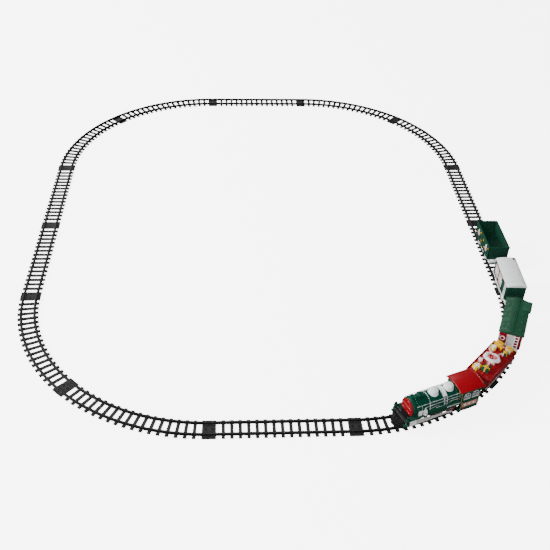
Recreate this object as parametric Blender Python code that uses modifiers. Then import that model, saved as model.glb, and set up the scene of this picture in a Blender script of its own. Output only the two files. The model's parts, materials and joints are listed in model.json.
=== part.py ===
# Battery toy train on an oval of clip-together track: a steam-type locomotive,
# a tender, a coach, a box car and an open gondola.
# Metres, +Z up. The origin is the centre of the oval on the floor, the long side
# of the oval runs along Y, and the train runs clockwise as seen from above.
import bpy
import bmesh
import math
from mathutils import Matrix, Vector

MM = 0.001
GAP = 0.3 * MM                   # gap between pieces that touch

# Track
CURVE_RADIUS = 360 * MM          # centre line of a curved section
CURVE_ANGLE = math.radians(45)
STRAIGHT = 250 * MM              # length of a straight section
RAIL_HALF_GAUGE = 12.8 * MM      # centre line of the track to the centre of a rail
RAIL_WIDTH = 2.4 * MM
RAIL_TOP = 7.5 * MM
SLEEPER_HALF = 20 * MM           # half the length of a sleeper
SLEEPER_WIDTH, SLEEPER_TOP = 4.2 * MM, 3 * MM
PLATE_LENGTH, PLATE_TOP = 12.1 * MM, 2.6 * MM
FIRST_SLEEPER = 24.2 * MM        # joint to the first sleeper
STRAIGHT_SLEEPERS, CURVE_SLEEPERS = 15, 17
JOINT_TRIM = 0.15                # mm cut off each end of a section, for the gap at a joint
RAIL_STEPS = 9                   # straight facets in a curved rail

# Running gear
WHEEL_GAP = 0.3 * MM             # tread to rail
TREAD_IN, TREAD_OUT = 10.6 * MM, 15 * MM
FLANGE_IN = 9.4 * MM
FLANGE_DEPTH = 1.2 * MM
AXLE_RADIUS = 1.5 * MM
DRIVER_RADIUS, SMALL_RADIUS = 11.5 * MM, 6 * MM
CRANK_RADIUS, CRANK_PIN = 3.4 * MM, 1.2 * MM
ROD_HALF = 2.5 * MM              # half the height of a side rod
ROD_EYE, ROD_FRONT_EYE = 1.5 * MM, 1.7 * MM   # the front eye has more play
LEFT_CRANK, RIGHT_CRANK = math.radians(-120), math.radians(-30)

# Locomotive, x forward from its middle
REAR_DRIVER, FRONT_DRIVER, PILOT = -28 * MM, 4 * MM, 38 * MM
BOILER_RADIUS, BOILER_AXIS, WALL = 17.5 * MM, 39 * MM, 1.7 * MM
BOILER_BACK, BOILER_FRONT = -41.7 * MM, 52 * MM
BOARD_TOP = 28.3 * MM            # top of the running boards
CAB_BACK, CAB_FRONT = -80 * MM, -42 * MM
CAB_HALF, CAB_BOTTOM, CAB_TOP = 22 * MM, 8.6 * MM, 54 * MM
HOOK_LEVEL = 16.2 * MM           # underside of the coupling links

# Wagons, x forward from the middle of each
WHEELBASE = 54 * MM
FRAME_TOP = 24 * MM
BODY_BOTTOM = FRAME_TOP + GAP
PIN_RADIUS = 1.5 * MM
LINK_EYE, LINK_RING = 1.8 * MM, 3.9 * MM

# Distance of each vehicle's middle behind the joint where the right-hand curve begins
LOCO_AT, TENDER_AT, COACH_AT, BOXCAR_AT, GONDOLA_AT = (v * MM for v in (-425, -277, -149, -10, 130))

OUTER, INNER = 1, -1             # side of a vehicle: left is outside the oval


def clear_scene():
    for obj in list(bpy.data.objects):
        bpy.data.objects.remove(obj, do_unlink=True)


def collection(name):
    group = bpy.data.collections.new(name)
    bpy.context.scene.collection.children.link(group)
    return group


def plastic(name, colour, roughness=0.4, metallic=0.0):
    material = bpy.data.materials.new(name)
    material.use_nodes = True
    shader = material.node_tree.nodes["Principled BSDF"]
    shader.inputs["Base Color"].default_value = (*colour, 1)
    shader.inputs["Roughness"].default_value = roughness
    shader.inputs["Metallic"].default_value = metallic
    return material


def place(name, mesh, material, parent=None, at=(0, 0, 0), turn=0.0):
    """A part: the mesh, its own material, and its place under its vehicle."""
    obj = bpy.data.objects.new(name, mesh)
    if not mesh.materials:
        mesh.materials.append(material)
    obj.location = at
    obj.rotation_euler.z = turn
    obj.parent = parent
    PARTS.objects.link(obj)
    return obj


def boolean(obj, mesh, operation):
    """A live Boolean whose operand has the same place as the part it shapes."""
    tool = bpy.data.objects.new(f"{obj.name}_{operation.lower()}", mesh)
    tool.location = obj.location
    tool.rotation_euler = obj.rotation_euler
    tool.parent = obj.parent
    tool.hide_render = True
    tool.display_type = "WIRE"
    CUTTERS.objects.link(tool)
    modifier = obj.modifiers.new(operation.title(), "BOOLEAN")
    modifier.operation = operation
    modifier.object = tool
    return obj


def add(obj, *meshes):
    return boolean(obj, joined(*meshes), "UNION")


def cut(obj, *meshes):
    return boolean(obj, joined(*meshes), "DIFFERENCE")


def joined(*meshes):
    """One mesh of shapes that don't meet each other."""
    shell = bmesh.new()
    for mesh in meshes:
        shell.from_mesh(mesh)
    result = bpy.data.meshes.new("shapes")
    shell.to_mesh(result)
    shell.free()
    return result


def moved(mesh, matrix):
    result = mesh.copy()
    result.transform(matrix)
    if matrix.determinant() < 0:
        result.flip_normals()
    return result


def mirrored(mesh):
    return moved(mesh, Matrix.Scale(-1, 4, (0, 1, 0)))


def box(low, high):
    low, high = Vector(low) * MM, Vector(high) * MM
    shell = bmesh.new()
    size = Matrix.Diagonal((*(high - low), 1))
    bmesh.ops.create_cube(shell, size=1, matrix=Matrix.Translation((low + high) / 2) @ size)
    mesh = bpy.data.meshes.new("box")
    shell.to_mesh(mesh)
    shell.free()
    return mesh


def cylinder(radius, low, high, at=(0, 0), axis="Z", sides=16, top_radius=None):
    """A cylinder or cone along an axis; at gives the other two coordinates."""
    shell = bmesh.new()
    top_radius = radius if top_radius is None else top_radius
    bmesh.ops.create_cone(shell, cap_ends=True, segments=sides, radius1=radius * MM,
                          radius2=top_radius * MM, depth=(high - low) * MM)
    turn = {"Z": Matrix(), "X": Matrix.Rotation(math.pi / 2, 4, "Y"),
            "Y": Matrix.Rotation(-math.pi / 2, 4, "X")}[axis]
    middle = (low + high) / 2
    centre = {"Z": (*at, middle), "X": (middle, *at), "Y": (at[0], middle, at[1])}[axis]
    bmesh.ops.transform(shell, matrix=Matrix.Translation(Vector(centre) * MM) @ turn, verts=shell.verts)
    mesh = bpy.data.meshes.new("cylinder")
    shell.to_mesh(mesh)
    shell.free()
    return mesh


def welded(obj):
    """The evaluated mesh of a helper object, closed along its seams."""
    bpy.context.scene.collection.objects.link(obj)
    graph = bpy.context.evaluated_depsgraph_get()
    mesh = bpy.data.meshes.new_from_object(obj.evaluated_get(graph))
    bpy.data.objects.remove(obj, do_unlink=True)
    shell = bmesh.new()
    shell.from_mesh(mesh)
    bmesh.ops.remove_doubles(shell, verts=shell.verts, dist=0.002 * MM)
    bmesh.ops.recalc_face_normals(shell, faces=shell.faces)
    shell.to_mesh(mesh)
    shell.free()
    return mesh


STAND = {"Z": Matrix(),
         "X": Matrix(((0, 0, 1, 0), (1, 0, 0, 0), (0, 1, 0, 0), (0, 0, 0, 1))),
         "Y": Matrix(((1, 0, 0, 0), (0, 0, -1, 0), (0, 1, 0, 0), (0, 0, 0, 1)))}


def extruded(outline, low, high, axis="Z", holes=()):
    """A flat outline with holes, extruded: (x, y) for Z, (y, z) for X, (x, z) for Y."""
    curve = bpy.data.curves.new("outline", "CURVE")
    curve.dimensions = "2D"
    curve.fill_mode = "BOTH"
    curve.extrude = (high - low) / 2 * MM
    for points in (outline, *holes):
        spline = curve.splines.new("POLY")
        spline.points.add(len(points) - 1)
        spline.use_cyclic_u = True
        for point, (across, up) in zip(spline.points, points):
            point.co = (across * MM, up * MM, 0, 1)
    mesh = welded(bpy.data.objects.new("outline", curve))
    middle = (low + high) / 2 * MM * (-1 if axis == "Y" else 1)
    return moved(mesh, STAND[axis] @ Matrix.Translation((0, 0, middle)))


def turned(profile, sides, axis="Z"):
    """A (radius, height) profile from top to bottom, turned about an axis."""
    mesh = bpy.data.meshes.new("profile")
    points = [(radius * MM, 0, height * MM) for radius, height in profile]
    mesh.from_pydata(points, [(i, i + 1) for i in range(len(points) - 1)], [])
    obj = bpy.data.objects.new("profile", mesh)
    screw = obj.modifiers.new("Screw", "SCREW")
    screw.steps = screw.render_steps = sides
    screw.use_merge_vertices = True
    screw.merge_threshold = 0.002 * MM
    mesh = welded(obj)
    return moved(mesh, Matrix.Rotation(-math.pi / 2, 4, "X")) if axis == "Y" else mesh


def arc(radius, start, end, steps, centre=(0, 0)):
    """Points along an arc, angles in degrees."""
    points = []
    for i in range(steps + 1):
        angle = math.radians(start + (end - start) * i / steps)
        points.append((centre[0] + radius * math.cos(angle), centre[1] + radius * math.sin(angle)))
    return points


def arched(left, right, bottom, spring, steps=5):
    """A window outline: straight sides under a half-round head."""
    radius = (right - left) / 2
    return [(left, bottom), (right, bottom)] + arc(radius, 0, 180, steps, ((left + right) / 2, spring))


# ---------------------------------------------------------------- track

def clip(direction):
    """The tongue on one end of a section, and the recess that takes it on the other."""
    start, end = (-2, 5) if direction > 0 else (-5.8, 1)
    grow = 0 if direction > 0 else 0.4
    return (start, 4 - grow, 0.4 - 2 * grow), (end, 9 + grow, 1.6 + grow)


def straight_section(name, at, turn):
    half = STRAIGHT / MM / 2
    end = half - JOINT_TRIM
    first = FIRST_SLEEPER / MM - half
    reach, width = SLEEPER_HALF / MM, SLEEPER_WIDTH / MM / 2
    ladder = []
    for i in range(STRAIGHT_SLEEPERS):
        x = first * (1 - 2 * i / (STRAIGHT_SLEEPERS - 1))
        ladder.append(box((x - width, -reach, 0), (x + width, reach, SLEEPER_TOP / MM)))
    low, high = clip(1)
    tongue = box((end + low[0], low[1], low[2]), (end + high[0], high[1], high[2]))
    low, high = clip(-1)
    recess = box((-end - high[0], low[1], low[2]), (-end - low[0], high[1], high[2]))
    for side in (-1, 1):
        plate = sorted((side * end, side * (half - PLATE_LENGTH / MM)))
        ladder.append(box((plate[0], -reach, 0), (plate[1], reach, PLATE_TOP / MM)))
    rails = []
    for side in (-1, 1):
        y = side * RAIL_HALF_GAUGE / MM
        rail = RAIL_WIDTH / MM / 2
        rails.append(box((0.1 - end, y - rail, 0), (end - 0.1, y + rail, RAIL_TOP / MM)))
    obj = place(name, joined(*rails), BLACK, at=at, turn=turn)
    add(obj, *ladder)
    add(obj, tongue)
    return cut(obj, recess)


def curve_section(name, at, turn):
    """The origin is the centre of the arc, and x runs through the middle of the section."""
    radius = CURVE_RADIUS / MM
    half = CURVE_ANGLE / 2
    trim = JOINT_TRIM / radius
    inner, outer = radius - SLEEPER_HALF / MM, radius + SLEEPER_HALF / MM
    width = SLEEPER_WIDTH / MM / 2
    span = half - FIRST_SLEEPER / CURVE_RADIUS
    ladder = []
    for i in range(CURVE_SLEEPERS):
        sleeper = box((inner, -width, 0), (outer, width, SLEEPER_TOP / MM))
        turned_by = span * (2 * i / (CURVE_SLEEPERS - 1) - 1)
        ladder.append(moved(sleeper, Matrix.Rotation(turned_by, 4, "Z")))
    low, high = clip(1)
    tongue = box((radius + low[1], -high[0], low[2]), (radius + high[1], -low[0], high[2]))
    tongue = moved(tongue, Matrix.Rotation(-half + trim, 4, "Z"))
    low, high = clip(-1)
    recess = box((radius + low[1], low[0], low[2]), (radius + high[1], high[0], high[2]))
    recess = moved(recess, Matrix.Rotation(half - trim, 4, "Z"))
    depth = -PLATE_LENGTH / MM
    plate = [(inner, depth), (outer, depth), (outer, -JOINT_TRIM), (inner, -JOINT_TRIM)]
    plate = extruded(plate, 0, PLATE_TOP / MM)
    ladder.append(moved(plate, Matrix.Rotation(half, 4, "Z")))
    ladder.append(moved(mirrored(plate), Matrix.Rotation(-half, 4, "Z")))
    rails = []
    limit = math.degrees(half - 0.25 / radius)
    for side in (-1, 1):
        middle = radius + side * RAIL_HALF_GAUGE / MM
        outline = arc(middle + RAIL_WIDTH / MM / 2, -limit, limit, RAIL_STEPS)
        outline += arc(middle - RAIL_WIDTH / MM / 2, limit, -limit, RAIL_STEPS)
        rails.append(extruded(outline, 0, RAIL_TOP / MM))
    obj = place(name, joined(*rails), BLACK, at=at, turn=turn)
    add(obj, *ladder)
    add(obj, tongue)
    return cut(obj, recess)


def corner_centre(side_x, side_y):
    return Vector((side_x * STRAIGHT / 2, side_y * STRAIGHT, 0))


def track():
    side = CURVE_RADIUS + STRAIGHT / 2
    end = CURVE_RADIUS + STRAIGHT
    quarter = math.pi / 2
    straights = [((0, -end, 0), math.pi), ((0, end, 0), 0)]
    straights += [((side, y * STRAIGHT, 0), -quarter) for y in (-0.5, 0.5)]
    straights += [((-side, y * STRAIGHT, 0), quarter) for y in (-0.5, 0.5)]
    for number, (at, turn) in enumerate(straights, 1):
        straight_section(f"track_straight_{number}", at, turn)
    number = 0
    for corner, (side_x, side_y) in enumerate(((1, 1), (-1, 1), (-1, -1), (1, -1))):
        for step in (0.5, 1.5):
            number += 1
            turn = corner * quarter + step * CURVE_ANGLE
            curve_section(f"track_curve_{number}", corner_centre(side_x, side_y), turn)


def track_point(back):
    """Centre line of the track, a distance behind the start of the right-hand curve."""
    centre = corner_centre(1, -1)
    if back >= 0:
        return centre + Vector((CURVE_RADIUS, back, 0))
    angle = back / CURVE_RADIUS
    return centre + CURVE_RADIUS * Vector((math.cos(angle), math.sin(angle), 0))


def vehicle(name, middle, front_axle, rear_axle):
    """An empty that carries a vehicle, set so that two of its axles are over the centre line."""
    front, rear = track_point(middle - front_axle), track_point(middle - rear_axle)
    heading = (front - rear).normalized()
    empty = bpy.data.objects.new(name, None)
    empty.location = rear - heading * rear_axle
    empty.rotation_euler.z = math.atan2(heading.y, heading.x)
    PARTS.objects.link(empty)
    return empty


# ---------------------------------------------------------------- running gear

def wheelset_mesh(radius, sides, flange=True):
    """Two wheels and their axle, turned in one piece about Y."""
    rim = radius + (FLANGE_DEPTH / MM if flange else 0)
    half = [(0, TREAD_OUT / MM), (radius, TREAD_OUT / MM)]
    if flange:
        half += [(radius, TREAD_IN / MM), (rim, TREAD_IN / MM - 0.3)]
    half += [(rim, FLANGE_IN / MM), (AXLE_RADIUS / MM, FLANGE_IN / MM)]
    return turned(half + [(r, -y) for r, y in reversed(half)], sides, "Y")


def axle_height(radius):
    return RAIL_TOP + WHEEL_GAP + radius


def crank_point(side):
    angle = LEFT_CRANK if side > 0 else RIGHT_CRANK
    return CRANK_RADIUS * math.cos(angle), CRANK_RADIUS * math.sin(angle)


def driving_wheels(name, parent, x, flange):
    mesh = wheelset_mesh(DRIVER_RADIUS / MM, 20, flange)
    obj = place(name, mesh, RED, parent, at=(x, 0, axle_height(DRIVER_RADIUS)))
    pins = []
    for side in (OUTER, INNER):
        across, up = crank_point(side)
        ends = sorted((side * 14.5, side * 17.4))
        pins.append(cylinder(CRANK_PIN / MM, *ends, (across / MM, up / MM), "Y", 10))
    return add(obj, *pins)


def side_rod(name, parent, side):
    """The rod turns about the rear crank pin; its front eye has play on the other pin."""
    across, up = crank_point(side)
    length = (FRONT_DRIVER - REAR_DRIVER) / MM
    half = ROD_HALF / MM
    outline = arc(half, 90, 270, 6) + arc(half, -90, 90, 6, (length, 0))
    holes = (arc(ROD_EYE / MM, 0, 324, 9), arc(ROD_FRONT_EYE / MM, 0, 324, 9, (length, 0)))
    mesh = extruded(outline, *sorted((side * 15.4, side * 16.8)), "Y", holes)
    place(name, mesh, STEEL, parent, at=(REAR_DRIVER + across, 0, axle_height(DRIVER_RADIUS) + up))


def small_wheels(name, parent, x, material):
    mesh = wheelset_mesh(SMALL_RADIUS / MM, 12)
    place(name, mesh, material, parent, at=(x, 0, axle_height(SMALL_RADIUS)))


def axle_slot(x, radius, bottom, half_width):
    """A slot open below, which clips over an axle."""
    height = axle_height(radius) / MM
    width = AXLE_RADIUS / MM + 0.3
    return box((x / MM - width, -half_width, bottom), (x / MM + width, half_width, height + width))


def coupling_pin(x):
    """A tongue behind a vehicle with an upright pin."""
    level = HOOK_LEVEL / MM
    tongue = box((x - 5, -5, level - 3), (x + 9, 5, level - 0.6))
    pin = cylinder(PIN_RADIUS / MM, level - 1.5, level + 4.6, (x, 0), "Z", 10)
    return tongue, pin


def coupling_post(x, ceiling):
    """A headed post under a frame, on which a coupling link swings."""
    level = HOOK_LEVEL / MM
    head, foot = level - 0.4, level - 1.6
    profile = [(0, ceiling), (1.5, ceiling), (1.5, head), (3.2, head), (3.2, foot), (0, foot)]
    return moved(turned(profile, 12), Matrix.Translation((x * MM, 0, 0)))


def coupling_link(name, parent, post_x, leader, pin_x):
    """The link swings on its own wagon's post and drops over the pin of the one ahead."""
    post = parent.matrix_world @ Vector((post_x * MM, 0, 0))
    pin = leader.matrix_world @ Vector((pin_x * MM, 0, 0))
    reach = (pin - post).length / MM
    turn = math.atan2(pin.y - post.y, pin.x - post.x) - parent.rotation_euler.z
    outline = arc(5.4, -150, 150, 10, (reach, 0)) + arc(3.4, 128, 232, 3)
    holes = (arc(LINK_EYE / MM, 0, 330, 11), arc(LINK_RING / MM, 0, 330, 11, (reach, 0)))
    mesh = extruded(outline, HOOK_LEVEL / MM, HOOK_LEVEL / MM + 2, "Z", holes)
    place(name, mesh, STEEL, parent, at=(post_x * MM, 0, 0), turn=turn)


# ---------------------------------------------------------------- locomotive

def loco_chassis(parent):
    outline = [(-77.8, -19.8), (-41.7, -19.8), (-41.7, -21), (60, -21)]
    outline += [(x, -y) for x, y in reversed(outline)]
    obj = place("loco_chassis", extruded(outline, 25.5, BOARD_TOP / MM), FRAME, parent)
    for start, end in ((-41.4, -14.4), (-9, 17)):
        for inner in (-15.8, 8.9):
            cut(obj, box((start, inner, 20), (end, inner + 6.9, 35)))
    add(obj, box((-78, -8.2, 13), (57, 8.2, 26.5)))
    tongue, pin = coupling_pin(-85)
    add(obj, tongue)
    add(obj, pin)
    slots = [axle_slot(x, r, 10, 9) for x, r in ((REAR_DRIVER, DRIVER_RADIUS), (FRONT_DRIVER, DRIVER_RADIUS))]
    cut(obj, *slots, axle_slot(PILOT, SMALL_RADIUS, 10, 9), box((-64.5, -3.4, 12), (-55.5, 3.4, 15.2)))
    cut(obj, box((-36, -3, 11), (-20, 3, 30)))


def loco_boiler(parent):
    inner = BOILER_RADIUS / MM - WALL / MM
    outline = [(-BOILER_RADIUS / MM, BOARD_TOP / MM + 0.3), (-inner, BOARD_TOP / MM + 0.3)]
    outline += arc(inner, 180, 0, 14, (0, BOILER_AXIS / MM))
    outline += [(inner, BOARD_TOP / MM + 0.3), (BOILER_RADIUS / MM, BOARD_TOP / MM + 0.3)]
    outline += arc(BOILER_RADIUS / MM, 0, 180, 14, (0, BOILER_AXIS / MM))
    mesh = extruded(outline, BOILER_BACK / MM, BOILER_FRONT / MM, "X")
    place("boiler_shell", mesh, GREEN, parent)


def smokebox_cap(parent):
    """The red front pulls off forward; the cells lie behind it."""
    front = BOILER_FRONT / MM + 0.3
    axis = BOILER_AXIS / MM
    level = BOARD_TOP / MM + 0.6
    outline = arc(16.4, -38, 218, 16, (0, axis))
    obj = place("smokebox_cap", extruded(outline, front, front + 3.2, "X"), RED, parent)
    rim = [(-12, level)] + arc(15.3, 208, -28, 12, (0, axis))[3:-3] + [(12, level)]
    ring = extruded(rim, front - 5, front + 1, "X")
    add(obj, ring)
    return add(obj, cylinder(6, front + 2, front + 5.2, (0, axis), "X", 14, 4.5))


def saddle(level, radius, top, x, dome, sides=14):
    """A fitting that stands on the boiler: a stem or a dome, its foot hollowed to the boiler."""
    profile = [(0, top)] + dome + [(radius, level), (0, level)]
    return moved(turned(profile, sides), Matrix.Translation((x * MM, 0, 0)))


def boiler_fittings(parent):
    crown = (BOILER_AXIS + BOILER_RADIUS) / MM
    clear = cylinder(BOILER_RADIUS / MM + 0.35, -50, 60, (0, BOILER_AXIS / MM), "X", 56)
    dome = [(4.5, crown + 8.2), (7.8, crown + 5.6), (9, crown + 2.5)]
    fittings = (
        ("chimney", GREEN, 4, crown + 7, 47, [(4.6, crown + 7), (4.6, crown + 5.4), (3.4, crown + 5)]),
        ("bell_dome", GREEN, 5, crown + 7.5, 33, [(2.6, crown + 6.6), (4.6, crown + 4.2)]),
        ("steam_dome_front", WHITE, 9, crown + 9, 5, dome),
        ("steam_dome_rear", WHITE, 9, crown + 9, -26, dome))
    for name, colour, radius, top, x, profile in fittings:
        obj = place(name, saddle(crown - 3.5, radius, top, x, profile), colour, parent)
        cut(obj, clear)


def cab(parent):
    back, front = CAB_BACK / MM, CAB_FRONT / MM
    half, bottom, top = CAB_HALF / MM, CAB_BOTTOM / MM, CAB_TOP / MM
    middle = (back + front) / 2
    outline = [(back, -half), (front, -half), (front, half), (back, half)]
    hollow = [(x + (1.8 if x < middle else -1.8), y - math.copysign(1.8, y)) for x, y in outline]
    obj = place("cab", extruded(outline, bottom, top, "Z", [hollow]), GREEN, parent)
    windows = [extruded(arched(x - 6.2, x + 6.2, 36, 43.4), -30, 30, "Y") for x in (-70.4, -53.2)]
    cut(obj, *windows)
    # doorway at the back, and the front wall opened for the frame below and the boiler above
    cut(obj, box((back - 2, -8, 31), (back + 3, 8, 50)))
    cut(obj, box((back - 2, -9, bottom - 2), (back + 3, 9, 28.8)))
    cut(obj, box((front - 3, -21.4, 12), (front + 2, 21.4, 28.8)))


def cab_roof(parent):
    """A sheet that arches over the cab and overhangs it."""
    half, eave, crown = 24, 54.3, 61.5
    rise = crown - eave - 1.6
    radius = (half * half + rise * rise) / (2 * rise)
    reach = math.degrees(math.asin(half / radius))
    centre = (0, crown - radius)
    outline = arc(radius, 90 - reach, 90 + reach, 10, centre) + [(-half, eave), (half, eave)]
    roof = place("cab_roof", extruded(outline, -87, -37, "X"), RED, parent)
    cut(roof, cylinder(BOILER_RADIUS / MM + 0.4, -42.1, -30, (0, BOILER_AXIS / MM), "X", 56))


def cowcatcher(parent):
    """Buffer beam and plough, with a marker lamp on each side."""
    beam = place("cowcatcher", box((60.3, -22.6, 15), (67, 22.6, 23.5)), FRAME, parent)
    plough = extruded([(63, -21), (66, -21), (80, -3), (80, 3), (66, 21), (63, 21)], 8.6, 20)
    for vertex in plough.vertices:
        if vertex.co.z > 14 * MM:
            vertex.co.x = 63 * MM + (vertex.co.x - 63 * MM) * 0.45
    add(beam, plough)
    lamps = [turned([(0, 36), (2.6, 35), (2.6, 22), (0, 22)], 10)]
    lamps = [moved(lamps[0], Matrix.Translation((63.5 * MM, side * 19.7 * MM, 0))) for side in (-1, 1)]
    add(beam, *lamps)


def valve_gear(name, parent, side):
    """Cylinder block and the long plate that tapers back over the wheels."""
    outline = [(-28, 11.6), (-29.4, 13.2), (-27, 14.8), (44, 22.5), (46, 24), (46, 11)]
    plate = extruded(outline, *sorted((side * 18.4, side * 20.2)), "Y")
    obj = place(name, plate, WHITE, parent)
    block = extruded([(45, 9), (58, 9), (59.8, 12), (59.8, 25.1), (45, 25.1)],
                     *sorted((side * 15.7, side * 21.6)), "Y")
    return add(obj, block)


def drive(parent):
    """Motor, the gear on the driven axle, the cells and the switch."""
    can = place("motor", box((-41, -7.5, 28.6), (-17, 7.5, 47.6)), CAN, parent)
    can.modifiers.new("Bevel", "BEVEL").width = 1.5 * MM
    teeth = []
    for i in range(14):
        for step, radius in ((0, 6.1), (0.28, 7.3), (0.56, 7.3), (0.84, 6.1)):
            angle = (i + step) * 2 * math.pi / 14
            teeth.append((radius * math.cos(angle), radius * math.sin(angle)))
    gear = extruded(teeth, -2.4, 2.4, "Y", [arc(AXLE_RADIUS / MM + 0.3, 0, 330, 11)])
    place("drive_gear", gear, NYLON, parent, at=(REAR_DRIVER, 0, axle_height(DRIVER_RADIUS)))
    for name, side in (("cell_left", 1), ("cell_right", -1)):
        profile = [(0, 50.3), (2.6, 50.3), (2.6, 49.2), (7.1, 49), (7.1, 0), (0, 0)]
        cell = moved(turned(profile, 16), Matrix.Rotation(math.pi / 2, 4, "Y"))
        place(name, cell, WRAP, parent, at=(-14.5 * MM, side * 7.3 * MM, 39 * MM))
    place("power_switch", box((-63.8, -2.8, 11.8), (-60.2, 2.8, 14.9)), WHITE, parent)


def locomotive():
    loco = vehicle("locomotive", LOCO_AT, PILOT, REAR_DRIVER)
    loco_chassis(loco)
    loco_boiler(loco)
    smokebox_cap(loco)
    boiler_fittings(loco)
    cab(loco)
    cab_roof(loco)
    cowcatcher(loco)
    valve_gear("valve_gear_left", loco, OUTER)
    valve_gear("valve_gear_right", loco, INNER)
    drive(loco)
    driving_wheels("drivers_rear", loco, REAR_DRIVER, True)
    driving_wheels("drivers_front", loco, FRONT_DRIVER, False)
    side_rod("side_rod_left", loco, OUTER)
    side_rod("side_rod_right", loco, INNER)
    small_wheels("pilot_wheels", loco, PILOT, RED)
    return loco


# ---------------------------------------------------------------- wagons

def wagon_frame(name, parent, half_length, material, post_x, pin_x):
    """Deck with side rails, two axle blocks, a link post in front and a pin behind."""
    top = FRAME_TOP / MM
    half = [(16.2, 21.7), (16.2, 18.4), (18, 18.4), (18, top)]
    outline = [(-y, z) for y, z in reversed(half)] + half
    obj = place(name, extruded(outline, -half_length, half_length, "X"), material, parent)
    axle = WHEELBASE / MM / 2
    blocks = [box((side * axle - 6, -8.2, 11.6), (side * axle + 6, 8.2, 22.5)) for side in (-1, 1)]
    add(obj, *blocks, coupling_post(post_x, 22.5))
    if pin_x is not None:
        tongue, pin = coupling_pin(pin_x)
        hanger = box((pin_x + 6.6, -4.5, 14), (pin_x + 8.6, 4.5, 22.5))
        add(obj, tongue)
        add(obj, hanger, pin)
    cut(obj, *[axle_slot(side * WHEELBASE / 2, SMALL_RADIUS, 10, 9) for side in (-1, 1)])


def wagon_running_gear(prefix, parent, post_x, leader, leader_pin, material):
    for end, side in (("front", 1), ("rear", -1)):
        small_wheels(f"{prefix}_wheels_{end}", parent, side * WHEELBASE / 2, material)
    coupling_link(f"{prefix}_coupling", parent, post_x, leader, leader_pin)


def tub(half_x, half_y, wall, bottom, top, floor):
    """An open box as one outline with a pocket."""
    outer = [(-half_x, -half_y), (half_x, -half_y), (half_x, half_y), (-half_x, half_y)]
    pocket = box((-half_x + wall, -half_y + wall, floor), (half_x - wall, half_y - wall, top + 2))
    return extruded(outer, bottom, top), pocket


def tender(leader):
    parent = vehicle("tender", TENDER_AT, WHEELBASE / 2, -WHEELBASE / 2)
    wagon_frame("tender_chassis", parent, 46, DARK_GREEN, 42, -51)
    half = 22
    sides = [(-18, BODY_BOTTOM / MM), (18, BODY_BOTTOM / MM)]
    flare = [(20.5, 27), (21.2, 34), (half, 40), (24, 45.5), (24, 48)]
    outline = sides + flare + [(-y, z) for y, z in reversed(flare)]
    body = place("tender_body", extruded(outline, -50.5, 50.5, "X"), RED, parent)
    cut(body, box((-47.5, -19, 42), (47.5, 19, 52)))
    gifts = place("gift_load", box((-46.5, -18.2, 42.3), (46.5, 18.2, 49)), YELLOW, parent)
    parcels = ((31, 9.5), (31, -9), (-33, 9), (-33, -9))
    for number, (x, y) in enumerate(parcels):
        top = 56 - number % 2
        add(gifts, box((x - 8.5, y - 7.5, 47), (x + 8.5, y + 7.5, top)))
    heap = turned([(0, 58), (7, 56.5), (12, 52.5), (14, 47), (0, 47)], 14)
    add(gifts, moved(heap, Matrix.Diagonal((1.35, 1.05, 1, 1))))
    wagon_running_gear("tender", parent, 42, leader, -85, CREAM)
    return parent


def coach(leader):
    parent = vehicle("coach", COACH_AT, WHEELBASE / 2, -WHEELBASE / 2)
    wagon_frame("coach_chassis", parent, 56, WHITE, 53, -61)
    outline = [(-52, -21), (52, -21), (52, 21), (-52, 21)]
    hollow = [(-50.2, -19.2), (50.2, -19.2), (50.2, 19.2), (-50.2, 19.2)]
    body = place("coach_body", extruded(outline, BODY_BOTTOM / MM, 56, "Z", [hollow]), DARK_RED, parent)
    windows = [extruded(arched(x - 6, x + 6, 38, 45, 4), -30, 30, "Y") for x in (-36, -18, 0, 18, 36)]
    cut(body, *windows)
    eave, ridge = 56.3, 63.5
    gable = [(-23.5, eave), (23.5, eave), (23.5, eave + 1.6), (2, ridge), (-2, ridge), (-23.5, eave + 1.6)]
    roof = place("coach_roof", extruded(gable, -53.5, 53.5, "X"), GREEN, parent)
    add(roof, box((-50, 9, 57), (-20, 26, 62.4)))
    wagon_running_gear("coach", parent, 53, leader, -51, CREAM)
    return parent


def box_car(leader):
    parent = vehicle("box_car", BOXCAR_AT, WHEELBASE / 2, -WHEELBASE / 2)
    wagon_frame("boxcar_chassis", parent, 56, WHITE, 53, -61)
    outline = [(-46, -19), (46, -19), (46, 19), (-46, 19)]
    hollow = [(-44.2, -17.2), (44.2, -17.2), (44.2, 17.2), (-44.2, 17.2)]
    body = place("boxcar_body", extruded(outline, BODY_BOTTOM / MM, 57, "Z", [hollow]), DARK_GREEN, parent)
    ribs = [box((x - 1, side * 19.6 - 0.9, 26), (x + 1, side * 19.6 + 0.9, 55))
            for x in (-44, -13, 13, 44) for side in (-1, 1)]
    add(body, *ribs)
    half, eave, crown = 20.8, 57.3, 62
    rise = crown - eave - 1.6
    radius = (half * half + rise * rise) / (2 * rise)
    reach = math.degrees(math.asin(half / radius))
    outline = arc(radius, 90 - reach, 90 + reach, 8, (0, crown - radius)) + [(-half, eave), (half, eave)]
    place("boxcar_roof", extruded(outline, -47.5, 47.5, "X"), WHITE, parent)
    wagon_running_gear("boxcar", parent, 53, leader, -61, CREAM)
    return parent


def gondola(leader):
    parent = vehicle("gondola", GONDOLA_AT, WHEELBASE / 2, -WHEELBASE / 2)
    wagon_frame("gondola_chassis", parent, 56, WHITE, 53, None)
    shell, pocket = tub(50, 21.5, 1.8, BODY_BOTTOM / MM, 55, BODY_BOTTOM / MM + 2)
    body = place("gondola_body", shell, DARK_GREEN, parent)
    rim = [(-51, -22.5), (51, -22.5), (51, 22.5), (-51, 22.5)]
    add(body, extruded(rim, 52.6, 55.4))
    cut(body, pocket)
    wagon_running_gear("gondola", parent, 53, leader, -61, CREAM)


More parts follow.
